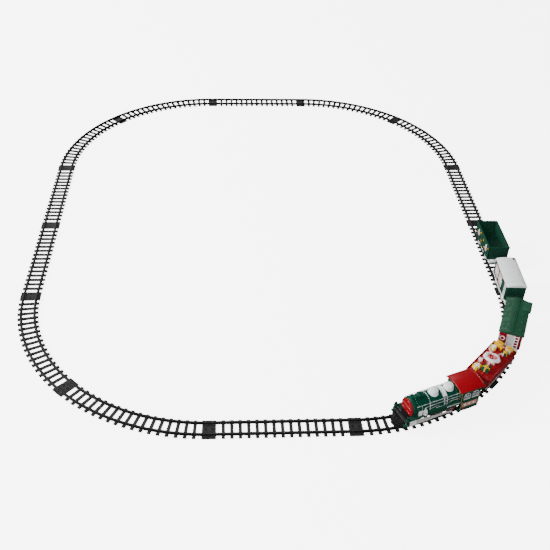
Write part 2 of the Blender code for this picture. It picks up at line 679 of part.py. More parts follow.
clear_scene()
PARTS = collection("toy_train_set")
CUTTERS = collection("cutters")
BLACK = plastic("track_black", (0.018, 0.018, 0.020), 0.38)
GREEN = plastic("gloss_green", (0.006, 0.105, 0.055), 0.28)
DARK_GREEN = plastic("dark_green", (0.004, 0.070, 0.038), 0.32)
RED = plastic("gloss_red", (0.42, 0.008, 0.012), 0.28)
DARK_RED = plastic("dark_red", (0.30, 0.006, 0.014), 0.35)
WHITE = plastic("white", (0.78, 0.80, 0.80), 0.35)
CREAM = plastic("pale_gold", (0.76, 0.62, 0.26), 0.35)
STEEL = plastic("silver", (0.62, 0.63, 0.65), 0.3, 0.9)
FRAME = plastic("frame_black", (0.012, 0.012, 0.013), 0.3)
YELLOW = plastic("gift_yellow", (0.80, 0.62, 0.05), 0.3)
CAN = plastic("steel", (0.55, 0.56, 0.58), 0.35, 0.9)
WRAP = plastic("cell_wrap", (0.05, 0.22, 0.12), 0.3)
NYLON = plastic("gear_white", (0.85, 0.84, 0.80), 0.4)
track()
bpy.context.view_layer.update()
engine = locomotive()
bpy.context.view_layer.update()
for build in (tender, coach, box_car, gondola):
    engine = build(engine)
    bpy.context.view_layer.update()
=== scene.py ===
"""The looks of a toy train set: an oval of clip-together track, a steam-type locomotive,
a tender with a load of gifts, a coach, a box car and an open gondola.

Every vehicle is built in millimetres in its own frame, x forward, y left, z up from the floor,
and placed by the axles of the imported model. Left is the outer side of the oval.
"""
import json
import math
import random

import bmesh
import bpy
from mathutils import Matrix, Vector


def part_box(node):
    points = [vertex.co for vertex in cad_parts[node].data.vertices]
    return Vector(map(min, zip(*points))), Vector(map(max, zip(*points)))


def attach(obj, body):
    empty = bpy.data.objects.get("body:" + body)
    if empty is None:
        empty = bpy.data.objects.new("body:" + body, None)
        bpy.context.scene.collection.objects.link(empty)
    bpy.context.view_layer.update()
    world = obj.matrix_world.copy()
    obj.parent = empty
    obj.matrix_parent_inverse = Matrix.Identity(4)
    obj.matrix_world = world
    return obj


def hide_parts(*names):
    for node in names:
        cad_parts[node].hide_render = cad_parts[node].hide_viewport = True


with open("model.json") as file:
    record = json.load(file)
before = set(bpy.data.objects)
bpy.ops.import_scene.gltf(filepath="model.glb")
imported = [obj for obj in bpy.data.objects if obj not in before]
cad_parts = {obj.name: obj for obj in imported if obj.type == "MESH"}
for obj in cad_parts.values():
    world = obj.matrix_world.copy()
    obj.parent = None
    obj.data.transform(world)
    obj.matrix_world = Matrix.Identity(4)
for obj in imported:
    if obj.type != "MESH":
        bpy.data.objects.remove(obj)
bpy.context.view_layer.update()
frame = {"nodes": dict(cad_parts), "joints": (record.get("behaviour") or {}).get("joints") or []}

JOINTS = {joint["name"]: joint for joint in frame["joints"]}
MM = 0.001
LEFT, RIGHT = 1, -1
SIDES = (("left", LEFT), ("right", RIGHT))
TRACK_SIDES = (("outer", LEFT), ("inner", RIGHT))
MIRROR = {LEFT: Matrix(), RIGHT: Matrix.Diagonal((1, -1, 1, 1))}

# Track, in millimetres
CURVE_RADIUS = 360
STRAIGHT_LENGTH = 250
RAIL_OFFSET = 12.8
RAIL_TOP = 7.5
SLEEPER_TOP = 3.0
SLEEPER_HALF = 20
PLATE_LENGTH = 12.1
FIRST_SLEEPER = 24.2  # from the end of a section
SLEEPER_WIDTH = 6.0
SLEEPERS_STRAIGHT, SLEEPERS_CURVE = 15, 17
CURVE_STEP = 45  # degrees a section
CURVE_LENGTH = CURVE_RADIUS * math.radians(CURVE_STEP)
JOINT_PLAY = 0.3

# Running gear
SMALL_WHEEL, DRIVER = 6.0, 11.5
TREAD_IN, TREAD_OUT, FLANGE_IN = 10.6, 15.0, 9.4
FLANGE_DEPTH = 1.2
HALF_WHEELBASE = 27

# Locomotive
BOILER_RADIUS, BOILER_AXIS = 17.5, 39.0
BOILER_BACK, BOILER_FRONT = -41.7, 52.0
BOARD_TOP = 28.3
CHIMNEY_X, BELL_X, FRONT_DOME_X, REAR_DOME_X = 47, 33, 5, -26
CAB_HALF = 22
REAR_DRIVER_X, PILOT_X, ROD_LENGTH = -28, 38, 32

# Wagons: half the length of their frames, and the side walls' distance from the middle
TENDER_FRAME, WAGON_FRAME = 46, 56
COACH_HALF, BOXCAR_HALF, EMBLEM_FACE = 21, 19, 21.1


# ---------------------------------------------------------------- building meshes

STAND = {"Z": Matrix(),
         "X": Matrix(((0, 0, 1, 0), (1, 0, 0, 0), (0, 1, 0, 0), (0, 0, 0, 1))),
         "Y": Matrix(((1, 0, 0, 0), (0, 0, 1, 0), (0, 1, 0, 0), (0, 0, 0, 1)))}


def arc(radius, start, end, steps, centre=(0, 0)):
    """Points on a circle, angles in degrees."""
    turns = (math.radians(start + (end - start) * i / steps) for i in range(steps + 1))
    return [(centre[0] + radius * math.cos(t), centre[1] + radius * math.sin(t)) for t in turns]


def arch(left, right, bottom, spring, steps=8):
    """A window outline: straight sides under a half-round head."""
    return [(left, bottom), (right, bottom)] + arc((right - left) / 2, 0, 180, steps,
                                                   ((left + right) / 2, spring))


def turned_about(point, angle, axis="Z"):
    """A matrix that turns a part about a point, the angle in degrees."""
    there = Matrix.Translation(Vector(point))
    return there @ Matrix.Rotation(math.radians(angle), 4, axis) @ there.inverted()


def border(x0, z0, x1, z1, width):
    """The outer and inner outlines of a rectangular border."""
    return [[(x0 + i, z0 + i), (x1 - i, z0 + i), (x1 - i, z1 - i), (x0 + i, z1 - i)] for i in (0, width)]


def star(centre, outer, inner):
    """The outline of a five-pointed star."""
    return [arc(radius, angle + 72 * k, angle + 72 * k, 1, centre)[0]
            for k in range(5) for radius, angle in ((outer, 90), (inner, 126))]


def soften(part, width, steps=1):
    """Rounds the sharp edges of a body that is being built."""
    if width:
        sharp = [e for e in part.edges if len(e.link_faces) == 2 and e.calc_face_angle() > math.radians(35)]
        bmesh.ops.bevel(part, geom=sharp, offset=width, segments=steps, profile=0.6, affect="EDGES",
                        clamp_overlap=True)


def turned(profile, sides):
    """A profile of (radius, height) turned about the z axis."""
    part = bmesh.new()
    line = [part.verts.new((r, 0, h)) for r, h in profile]
    edges = [part.edges.new(pair) for pair in zip(line, line[1:])]
    bmesh.ops.spin(part, geom=line + edges, cent=(0, 0, 0), axis=(0, 0, 1), angle=math.tau, steps=sides,
                   use_merge=True)
    bmesh.ops.remove_doubles(part, verts=part.verts[:], dist=1e-4)
    return part


class Shape:
    """Closed bodies put together into one mesh, in millimetres."""

    def __init__(self):
        self.mesh = bmesh.new()
        self.side, self.face = LEFT, 0

    def on(self, side, distance=0):
        """Chooses the wall for the slabs that follow: its side, and its distance from the middle."""
        self.side, self.face = side, side * distance
        return self

    def take(self, part, matrix=None):
        if matrix is not None:
            bmesh.ops.transform(part, matrix=matrix, verts=part.verts[:])
        bmesh.ops.recalc_face_normals(part, faces=part.faces[:])
        mesh = bpy.data.meshes.new("part")
        part.to_mesh(mesh)
        part.free()
        self.mesh.from_mesh(mesh)
        bpy.data.meshes.remove(mesh)
        return self

    def box(self, a, b, bevel=0.25, matrix=None, steps=1):
        low, high = Vector(map(min, a, b)), Vector(map(max, a, b))
        part = bmesh.new()
        bmesh.ops.create_cube(part, size=1)
        scale = Matrix.Translation((low + high) / 2) @ Matrix.Diagonal((*(high - low), 1))
        bmesh.ops.transform(part, matrix=scale, verts=part.verts[:])
        soften(part, bevel, steps)
        return self.take(part, matrix)

    def slab(self, x0, x1, z0, z1, inside, outside, bevel, matrix=None):
        """A box on the chosen wall; inside and outside are its depths, measured outward from the wall."""
        low, high = self.face + self.side * inside, self.face + self.side * outside
        return self.box((x0, low, z0), (x1, high, z1), bevel, matrix)

    def prism(self, outline, a, b, axis="Z", bevel=0.25, matrix=None, steps=1):
        part = bmesh.new()
        floor = part.faces.new([part.verts.new((x, y, min(a, b))) for x, y in outline])
        made = bmesh.ops.extrude_face_region(part, geom=[floor])["geom"]
        lifted = [v for v in made if isinstance(v, bmesh.types.BMVert)]
        bmesh.ops.translate(part, verts=lifted, vec=(0, 0, abs(b - a)))
        bmesh.ops.recalc_face_normals(part, faces=part.faces[:])
        soften(part, bevel, steps)
        bmesh.ops.transform(part, matrix=STAND[axis], verts=part.verts[:])
        return self.take(part, matrix)

    def frame(self, outer, inner, a, b, axis="Z", bevel=0.2, matrix=None):
        """A flat ring between two outlines with the same number of points."""
        part = bmesh.new()
        rings = [[part.verts.new((x, y, z)) for x, y in line]
                 for line, z in ((outer, a), (outer, b), (inner, b), (inner, a))]
        for k in range(4):
            first, second = rings[k], rings[(k + 1) % 4]
            for i in range(len(outer)):
                part.faces.new((first[i - 1], first[i], second[i], second[i - 1]))
        bmesh.ops.recalc_face_normals(part, faces=part.faces[:])
        soften(part, bevel)
        bmesh.ops.transform(part, matrix=STAND[axis], verts=part.verts[:])
        return self.take(part, matrix)

    def lathe(self, profile, at=(0, 0, 0), axis="Z", sides=24, matrix=None):
        """A profile of (radius, height) turned about an axis through a point."""
        part = turned(profile, sides)
        bmesh.ops.transform(part, matrix=Matrix.Translation(Vector(at)) @ STAND[axis], verts=part.verts[:])
        return self.take(part, matrix)

    def tube(self, points, radius, sides=8, loop=False, matrix=None):
        """A round bar along points."""
        part = bmesh.new()
        points = [Vector(p) for p in points]
        last = len(points) - 1
        rings, normal = [], None
        for i, point in enumerate(points):
            before = points[i - 1] if i or loop else point
            after = points[(i + 1) % (last + 1)] if i < last or loop else point
            along = (after - before).normalized()
            normal = along.orthogonal() if normal is None else normal - along * normal.dot(along)
            normal.normalize()
            across = along.cross(normal)
            spokes = [math.tau * k / sides for k in range(sides)]
            rings.append([part.verts.new(point + radius * (math.cos(t) * normal + math.sin(t) * across))
                          for t in spokes])
        for first, second in zip(rings, rings[1:] + (rings[:1] if loop else [])):
            for k in range(sides):
                part.faces.new((first[k - 1], first[k], second[k], second[k - 1]))
        if not loop:
            part.faces.new(rings[0])
            part.faces.new(rings[-1])
        return self.take(part, matrix)

    def ball(self, centre, radii, rings=8, matrix=None):
        part = bmesh.new()
        bmesh.ops.create_uvsphere(part, u_segments=rings * 2, v_segments=rings, radius=1)
        size = Matrix.Translation(Vector(centre)) @ Matrix.Diagonal((*radii, 1))
        bmesh.ops.transform(part, matrix=size, verts=part.verts[:])
        return self.take(part, matrix)

    def rivets(self, centres, radius=0.55, height=0.35, axis="Y", side=1):
        """Low round heads on a face whose outward direction is the axis, times side."""
        dome = [(0, -0.3), (radius, -0.3), (radius, 0.1), (radius * 0.6, height), (0, height)]
        for centre in centres:
            self.lathe([(r, h * side) for r, h in dome], centre, axis, 8)
        return self

    def bend(self, mapping):
        """Moves every point through a function."""
        for vertex in self.mesh.verts:
            vertex.co = mapping(vertex.co)
        return self


def piece(name, shape, material, body, place, slot, replaces=(), smooth=35, subdivide=0):
    """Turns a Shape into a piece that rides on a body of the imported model."""
    mesh = bpy.data.meshes.new(name)
    bmesh.ops.scale(shape.mesh, vec=(MM, MM, MM), verts=shape.mesh.verts[:])
    if body == "track":
        bmesh.ops.transform(shape.mesh, matrix=place, verts=shape.mesh.verts[:])
        place = Matrix()
    shape.mesh.to_mesh(mesh)
    shape.mesh.free()
    mesh.materials.append(material)
    mesh.shade_smooth()
    mesh.set_sharp_from_angle(angle=math.radians(smooth))
    obj = bpy.data.objects.new(name, mesh)
    bpy.context.scene.collection.objects.link(obj)
    obj.matrix_world = place
    if subdivide:
        rounded = obj.modifiers.new("Subdivision", "SUBSURF")
        rounded.levels = rounded.render_levels = subdivide
    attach(obj, body)
    if replaces:
        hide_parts(*replaces)


# ---------------------------------------------------------------- materials

def colour_mix(nodes):
    node = nodes.new("ShaderNodeMix")
    node.data_type = "RGBA"
    return node


def plastic(name, colour, roughness=0.32, tint=0.10, grain=0.00004, grain_scale=1400, wear=0.10,
            metallic=0.0, coat=0.0, broad=55, specular=0.35):
    """Moulded or plated plastic: a slow drift of colour, fine grain, uneven gloss and paler edges."""
    material = bpy.data.materials.new(name)
    material.use_nodes = True
    nodes, links = material.node_tree.nodes, material.node_tree.links
    shader = nodes["Principled BSDF"]
    shader.inputs["Metallic"].default_value = metallic
    shader.inputs["Specular IOR Level"].default_value = specular
    shader.inputs["Coat Weight"].default_value = coat
    shader.inputs["Coat Roughness"].default_value = 0.08
    place = nodes.new("ShaderNodeTexCoord")

    def noise(scale, detail):
        node = nodes.new("ShaderNodeTexNoise")
        node.inputs["Scale"].default_value = scale
        node.inputs["Detail"].default_value = detail
        links.new(place.outputs["Object"], node.inputs["Vector"])
        return node.outputs["Fac"]

    drift = colour_mix(nodes)
    drift.inputs["A"].default_value = (*(c * (1 - tint) for c in colour), 1)
    drift.inputs["B"].default_value = (*(min(1, c * (1 + tint)) for c in colour), 1)
    links.new(noise(broad, 3), drift.inputs["Factor"])
    edges = nodes.new("ShaderNodeNewGeometry")
    edge = nodes.new("ShaderNodeMapRange")
    edge.inputs["From Min"].default_value = 0.52
    edge.inputs["From Max"].default_value = 0.62
    edge.inputs["To Max"].default_value = wear
    links.new(edges.outputs["Pointiness"], edge.inputs["Value"])
    worn = colour_mix(nodes)
    worn.inputs["B"].default_value = (*(c * 0.5 + 0.35 for c in colour), 1)
    links.new(edge.outputs["Result"], worn.inputs["Factor"])
    links.new(drift.outputs["Result"], worn.inputs["A"])
    links.new(worn.outputs["Result"], shader.inputs["Base Color"])

    gloss = nodes.new("ShaderNodeMapRange")
    gloss.inputs["To Min"].default_value = max(0.03, roughness - 0.07)
    gloss.inputs["To Max"].default_value = roughness + 0.09
    links.new(noise(210, 4), gloss.inputs["Value"])
    links.new(gloss.outputs["Result"], shader.inputs["Roughness"])

    bump = nodes.new("ShaderNodeBump")
    bump.inputs["Strength"].default_value = 0.5
    bump.inputs["Distance"].default_value = grain
    links.new(noise(grain_scale, 2), bump.inputs["Height"])
    links.new(bump.outputs["Normal"], shader.inputs["Normal"])
    return material


WAVE_PERIOD = 0.31  # of the wave texture at a scale of 1


def striped(name, first, second, width, roughness=0.35):
    """A printed label of slanting soft-edged stripes in two colours."""
    material = plastic(name, first, roughness, grain=0.00001)
    nodes, links = material.node_tree.nodes, material.node_tree.links
    shader = nodes["Principled BSDF"]
    base = shader.inputs["Base Color"].links[0].from_socket
    place = nodes.new("ShaderNodeTexCoord")
    wave = nodes.new("ShaderNodeTexWave")
    wave.bands_direction = "DIAGONAL"
    wave.inputs["Scale"].default_value = WAVE_PERIOD / (width * MM)
    wave.inputs["Distortion"].default_value = 1.5
    links.new(place.outputs["Object"], wave.inputs["Vector"])
    ramp = nodes.new("ShaderNodeValToRGB")
    ramp.color_ramp.elements[0].position, ramp.color_ramp.elements[1].position = 0.45, 0.55
    links.new(wave.outputs["Fac"], ramp.inputs["Fac"])
    mix = colour_mix(nodes)
    links.new(ramp.outputs["Color"], mix.inputs["Factor"])
    links.new(base, mix.inputs["A"])
    mix.inputs["B"].default_value = (*second, 1)
    links.new(mix.outputs["Result"], shader.inputs["Base Color"])
    return material


BLACK = plastic("black_track_plastic", (0.006, 0.006, 0.007), 0.45, tint=0.25, wear=0.04, specular=0.16)
FRAME = plastic("black_frame_plastic", (0.003, 0.003, 0.0033), 0.36, tint=0.2, wear=0.04, specular=0.16)
GREEN = plastic("green_gloss", (0.0002, 0.056, 0.032), 0.28, wear=0.03, coat=0.03, specular=0.12)
DEEP_GREEN = plastic("deep_green_gloss", (0.0002, 0.046, 0.024), 0.28, wear=0.03, specular=0.14)
ROOF_GREEN = plastic("roof_green", (0.0010, 0.058, 0.024), 0.40, wear=0.05, specular=0.2)
RED = plastic("red_gloss", (0.26, 0.0004, 0.006), 0.28, wear=0.02, specular=0.25)
DEEP_RED = plastic("deep_red", (0.20, 0.0003, 0.008), 0.34, wear=0.02, specular=0.25)
WHITE = plastic("white_plastic", (0.90, 0.93, 0.94), 0.30, tint=0.02, wear=0.0)
GREY = plastic("grey_white_plastic", (0.55, 0.53, 0.52), 0.36, tint=0.06, wear=0.2)
SILVER = plastic("silver_plating", (0.74, 0.77, 0.78), 0.26, tint=0.05, metallic=0.35, wear=0.1)
GOLD = plastic("gold_trim", (0.52, 0.40, 0.18), 0.34, tint=0.06, metallic=0.6, wear=0.1)
CREAM = plastic("pale_yellow_wheels", (0.72, 0.63, 0.33), 0.34, tint=0.06, wear=0.1)
YELLOW = plastic("yellow_gift", (0.80, 0.47, 0.0004), 0.32, tint=0.08, wear=0.0, specular=0.2)
FUR = plastic("painted_fur", (0.84, 0.76, 0.77), 0.42, tint=0.05, wear=0.0)
PINK = plastic("pink_gift", (0.72, 0.20, 0.22), 0.34, tint=0.08, wear=0.05)
STEEL = plastic("brushed_steel", (0.52, 0.53, 0.55), 0.30, tint=0.05, metallic=0.95, wear=0.1)
CELL = plastic("cell_wrap", (0.04, 0.20, 0.11), 0.26, tint=0.05, coat=0.4)
NYLON = plastic("gear_nylon", (0.80, 0.79, 0.74), 0.42, tint=0.04)
LABEL = striped("label_red_and_white", (0.55, 0.05, 0.06), (0.72, 0.42, 0.40), 2.2)
LABEL_PALE = striped("label_pink_and_white", (0.72, 0.33, 0.33), (0.80, 0.74, 0.72), 2.6)
CANE = striped("candy_stripe", (0.80, 0.76, 0.74), (0.60, 0.02, 0.03), 1.3)

# The material slot of the record that each material stands for
SLOTS = {BLACK: "track_black", FRAME: "frame_black", GREEN: "gloss_green", ROOF_GREEN: "gloss_green",
         DEEP_GREEN: "dark_green", RED: "gloss_red", PINK: "gloss_red", LABEL: "gloss_red",
         DEEP_RED: "dark_red", WHITE: "white", FUR: "white", LABEL_PALE: "white", CANE: "white",
         GREY: "silver", SILVER: "silver", GOLD: "pale_gold", CREAM: "pale_gold", YELLOW: "gift_yellow",
         STEEL: "steel"}


# ---------------------------------------------------------------- frames

class Vehicle:
    """A vehicle's main body and its own frame: the floor under it, x running from rear axle to front axle."""

    def __init__(self, body, rear_joint, front_joint, rear_x):
        rear, front = (Vector(JOINTS[name]["pos_m"]) for name in (rear_joint, front_joint))
        forward = Vector((front.x - rear.x, front.y - rear.y, 0)).normalized()
        origin = rear - forward * rear_x * MM
        self.body = body
        self.place = Matrix.Translation((origin.x, origin.y, 0)) @ Matrix((
            (forward.x, -forward.y, 0, 0), (forward.y, forward.x, 0, 0), (0, 0, 1, 0), (0, 0, 0, 1)))

    def add(self, name, shape, material, replaced=None, body=None, slot=None, **finish):
        """Turns a Shape into a piece of this vehicle, in place of a CAD node if one is named."""
        piece(name, shape, material, body or self.body, self.place, slot or SLOTS[material],
              (replaced,) if replaced else (), **finish)


def keep(node, material, bevel=0.0):
    """A CAD node that stays, with its own material and softened edges."""
    obj = frame["nodes"][node]
    obj.data.materials.clear()
    obj.data.materials.append(material)
    if bevel:
        weld = obj.modifiers.new("Weld", "WELD")
        weld.merge_threshold = 0.00001
        edge = obj.modifiers.new("Bevel", "BEVEL")
        edge.width = bevel * MM
        edge.segments = 2
        edge.limit_method = "ANGLE"
        edge.angle_limit = math.radians(40)
        obj.data.shade_smooth()
        obj.data.set_sharp_from_angle(angle=math.radians(35))


# ---------------------------------------------------------------- track

def sleeper(shape, x):
    """One sleeper with the chair plates and spike heads that hold the rails."""
    half = SLEEPER_WIDTH / 2
    shape.box((x - half, -SLEEPER_HALF, 0), (x + half, SLEEPER_HALF, SLEEPER_TOP), 0.3)
    for side in (LEFT, RIGHT):
        middle = side * RAIL_OFFSET
        shape.box((x - 2.2, middle - 3.6, SLEEPER_TOP - 0.4), (x + 2.2, middle + 3.6, SLEEPER_TOP + 0.8),
                  0.25)
        for y in (middle - 2.7, middle + 2.7):
            shape.box((x - 0.6, y - 0.5, SLEEPER_TOP), (x + 0.6, y + 0.5, SLEEPER_TOP + 1.4), 0)


def rail(shape, middle, half, steps):
    """A rail with a foot, a web and a head."""
    section = [(2.7, 2.9), (2.7, 3.5), (1.0, 4.1), (1.0, 5.7), (1.5, 6.1), (1.5, 7.2), (1.2, RAIL_TOP)]
    section += [(-y, z) for y, z in reversed(section)]
    part = bmesh.new()
    rings = []
    for i in range(steps + 1):
        x = half * (2 * i / steps - 1)
        rings.append([part.verts.new((x, middle + y, z)) for y, z in section])
    for first, second in zip(rings, rings[1:]):
        for k in range(len(section)):
            part.faces.new((first[k - 1], first[k], second[k], second[k - 1]))
    part.faces.new(rings[0])
    part.faces.new(rings[-1])
    shape.take(part)


def joint_plate(shape, end, side):
    """Half of the flat plate at a joint; the one at the forward end carries the clip tongue."""
    inner = end - side * PLATE_LENGTH
    top = 2.6
    shape.box((inner, -SLEEPER_HALF, 0), (end, SLEEPER_HALF, top), 0.1)
    for y in (-17.6, 17.6, -5.6, 5.6):
        shape.box((inner + side * 1.6, y - 0.5, top - 0.2), (end - side * 1.2, y + 0.5, top + 0.5), 0.2)
    for y in (-RAIL_OFFSET, RAIL_OFFSET):
        shape.box((inner + side * 0.8, y - 3.6, top - 0.3), (end - side * 0.6, y + 3.6, top + 1.1), 0.3)
    shape.lathe([(0, top - 0.2), (2.4, top - 0.2), (2.4, top + 0.7), (1.7, top + 0.9), (1.7, top + 0.4),
                 (0, top + 0.4)], (end - side * 6, 0, 0), sides=14)
    if side > 0:
        shape.box((end - 2, 4.2, 0.5), (end + 4.8, 8.8, 1.5), 0.2)
        shape.box((end + 3.4, 4.2, 1.2), (end + 4.6, 8.8, 2.0), 0.2)


def track_section(node):
    """Rails, sleepers and joint plates of a section, built straight along x and bent if it is a curve."""
    low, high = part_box(node)
    middle = (low + high) / 2
    curved = "curve" in node
    length = CURVE_LENGTH if curved else STRAIGHT_LENGTH
    sleepers = SLEEPERS_CURVE if curved else SLEEPERS_STRAIGHT
    half = length / 2
    shape = Shape()
    for i in range(sleepers):
        sleeper(shape, (half - FIRST_SLEEPER) * (2 * i / (sleepers - 1) - 1))
    for side in (LEFT, RIGHT):
        rail(shape, side * RAIL_OFFSET, half - JOINT_PLAY, 24 if curved else 1)
        joint_plate(shape, side * half, side)
    if curved:
        corner = Vector(JOINTS["train_run"]["pos_m"])
        centre = Vector((math.copysign(corner.x, middle.x), math.copysign(corner.y, middle.y), 0))
        away = middle - centre
        step = math.degrees(math.atan2(away.y, away.x)) / CURVE_STEP
        turn = (round(step - 0.5) + 0.5) * CURVE_STEP

        def bent(co):
            angle, reach = co.x / CURVE_RADIUS, CURVE_RADIUS + co.y
            return Vector((reach * math.cos(angle), -reach * math.sin(angle), co.z))

        shape.bend(bent)
        place = Matrix.Translation(centre) @ Matrix.Rotation(math.radians(turn), 4, "Z")
    else:
        along_y = high.y - low.y > high.x - low.x
        turn = math.pi / 2 if middle.y > 0 else -math.pi / 2
        if along_y:
            turn = 0 if middle.x > 0 else math.pi
        turn -= math.pi / 2
        tongue = max(high.x - low.x, high.y - low.y) - (STRAIGHT_LENGTH - JOINT_PLAY) * MM
        middle -= Vector((math.cos(turn), math.sin(turn), 0)) * tongue / 2
        place = Matrix.Translation((middle.x, middle.y, 0)) @ Matrix.Rotation(turn, 4, "Z")
    piece(node + "_rails_and_sleepers", shape, BLACK, "track", place, SLOTS[BLACK], (node,))


# ---------------------------------------------------------------- running gear

def wheelset(node, car, x, radius, material, spokes, flange=True, cranks=()):
    """Two spoked wheels on a steel axle, with crank pins on the driving wheels."""
    height = RAIL_TOP + 0.3 + radius
    rim = radius + (FLANGE_DEPTH if flange else 0)
    hub = radius * 0.3
    profile = [(0, FLANGE_IN), (rim - 0.3, FLANGE_IN), (rim, FLANGE_IN + 0.4), (rim - 0.1, TREAD_IN - 0.4),
               (radius + (0.1 if flange else 0), TREAD_IN), (radius, TREAD_OUT - 0.3),
               (radius - 0.3, TREAD_OUT), (radius * 0.83, TREAD_OUT), (radius * 0.79, 13.3),
               (hub + 0.3, 13.1), (hub, TREAD_OUT - 0.2), (hub - 0.3, TREAD_OUT), (0, TREAD_OUT)]
    shape = Shape()
    for side in (LEFT, RIGHT):
        shape.lathe([(r, y * side) for r, y in profile], (x, 0, height), "Y", 32)
        for k in range(spokes):
            spin = turned_about((x, 0, height), 360 * k / spokes, "Y")
            width = radius * 0.07
            shape.box((x - width, side * 12.9, height + hub - 0.4),
                      (x + width, side * 14.5, height + radius * 0.85), 0.2, spin)
    for side, pin_x, pin_z in cranks:
        shape.lathe([(0, 14), (2.0, 14), (2.0, 15.1), (0, 15.1)], (pin_x, 0, pin_z), "Y", 16,
                    MIRROR[side])
        opposite = math.degrees(math.atan2(height - pin_z, x - pin_x))
        weight = arc(radius * 0.86, opposite - 34, opposite + 34, 10, (x, height))
        shape.prism(weight, side * 12.9, side * 14.7, "Y", 0.2)
    car.add(node + "_spoked", shape, material, node, node)
    axle = Shape().lathe([(0, -9.6), (1.4, -9.6), (1.5, -9.4), (1.5, 9.4), (1.4, 9.6), (0, 9.6)],
                         (x, 0, height), "Y", 16)
    for side in (LEFT, RIGHT):
        tip = [(0, 14.8), (0.9, 14.8), (0.9, 15.0), (0.5, 15.1), (0, 15.1)]
        axle.lathe([(r, y * side) for r, y in tip], (x, 0, height), "Y", 12)
    for side, pin_x, pin_z in cranks:
        pin = [(0, 14.6), (1.2, 14.6), (1.2, 17.0), (1.9, 17.0), (1.9, 17.3), (1.5, 17.5), (0, 17.5)]
        axle.lathe([(r, y * side) for r, y in pin], (pin_x, 0, pin_z), "Y", 16)
    car.add(node + "_axle", axle, STEEL, body=node)


def axle_guard(shape, x, side):
    """The plate with a spring and an axle box outside each wheel."""
    outline = [(x - 9, 18.6), (x - 3.2, 11), (x + 3.2, 11), (x + 9, 18.6), (x + 5.4, 18.6), (x + 2.6, 15.4),
               (x - 2.6, 15.4), (x - 5.4, 18.6)]
    shape.prism(outline, side * 16.4, side * 17.6, "Y", 0.15)
    shape.on(side)
    shape.slab(x - 2.4, x + 2.4, 11.4, 15.8, 16.4, 18.6, 0.4)
    shape.lathe([(0, 18.4), (1.5, 18.4), (1.3, 18.9), (0, 18.9)], (x, 0, 13.6), "Y", 12, MIRROR[side])
    for leaf in range(4):
        reach = 7 - 1.5 * leaf
        shape.slab(x - reach, x + reach, 18.2 - 0.7 * leaf, 18.8 - 0.7 * leaf, 16.8, 18.4, 0.1)


def wagon(prefix, body, half, material):
    """A wagon with its frame, running gear and coupling; half is half the length of its frame."""
    car = Vehicle(body, f"{prefix}_wheels_rear_spin", f"{prefix}_wheels_front_spin", -HALF_WHEELBASE)
    keep(f"{prefix}_chassis", material, 0.25)
    keep(f"{prefix}_coupling", STEEL, 0.2)
    details = Shape()
    for side in (LEFT, RIGHT):
        details.on(side)
        details.slab(-half + 1, half - 1, 19.2, 20.0, 17.9, 18.5, 0.15)
        details.slab(-half + 1, half - 1, 22.6, 23.4, 17.9, 18.5, 0.15)
        for x in (-HALF_WHEELBASE, HALF_WHEELBASE):
            axle_guard(details, x, side)
        details.rivets([(x, side * 18, 21.3) for x in range(8 - int(half), int(half) - 4, 8)], side=side)
        # truss rod between the axles
        rod = [(-16, side * 17.2, 18.6), (-9, side * 17.2, 14.6), (9, side * 17.2, 14.6),
               (16, side * 17.2, 18.6)]
        details.tube(rod, 0.6, 6)
    for end in (-1, 1):
        details.box((end * (half - 1.4), -17.6, 18.6), (end * (half + 0.6), 17.6, 23.7), 0.3)
        details.rivets([(end * (half + 0.6), y, 21.2) for y in (-14, -10, 10, 14)], axis="X", side=end)
    car.add(f"{prefix}_frame_details", details, material)
    for end, x in (("front", HALF_WHEELBASE), ("rear", -HALF_WHEELBASE)):
        wheelset(f"{prefix}_wheels_{end}", car, x, SMALL_WHEEL, CREAM, spokes=6)
    return car


# ---------------------------------------------------------------- locomotive

def on_boiler(x, angle, radius=BOILER_RADIUS):
    """A point on the boiler, the angle in degrees from the left side upwards."""
    turn = math.radians(angle)
    return Vector((x, radius * math.cos(turn), BOILER_AXIS + radius * math.sin(turn)))


def round_shell(shape, stations, thickness, start=-36, end=216, steps=42):
    """A sheet round the boiler axis, its radius given at stations along x."""
    part = bmesh.new()
    rings = []
    for inset in (0, thickness):
        for x, radius in (stations if not inset else reversed(stations)):
            angles = (start + (end - start) * k / steps for k in range(steps + 1))
            rings.append([part.verts.new(on_boiler(x, a, radius - inset)) for a in angles])
    for first, second in zip(rings, rings[1:] + rings[:1]):
        for k in range(steps):
            part.faces.new((first[k], first[k + 1], second[k + 1], second[k]))
    for k in (0, -1):
        part.faces.new([ring[k] for ring in rings])
    shape.take(part)


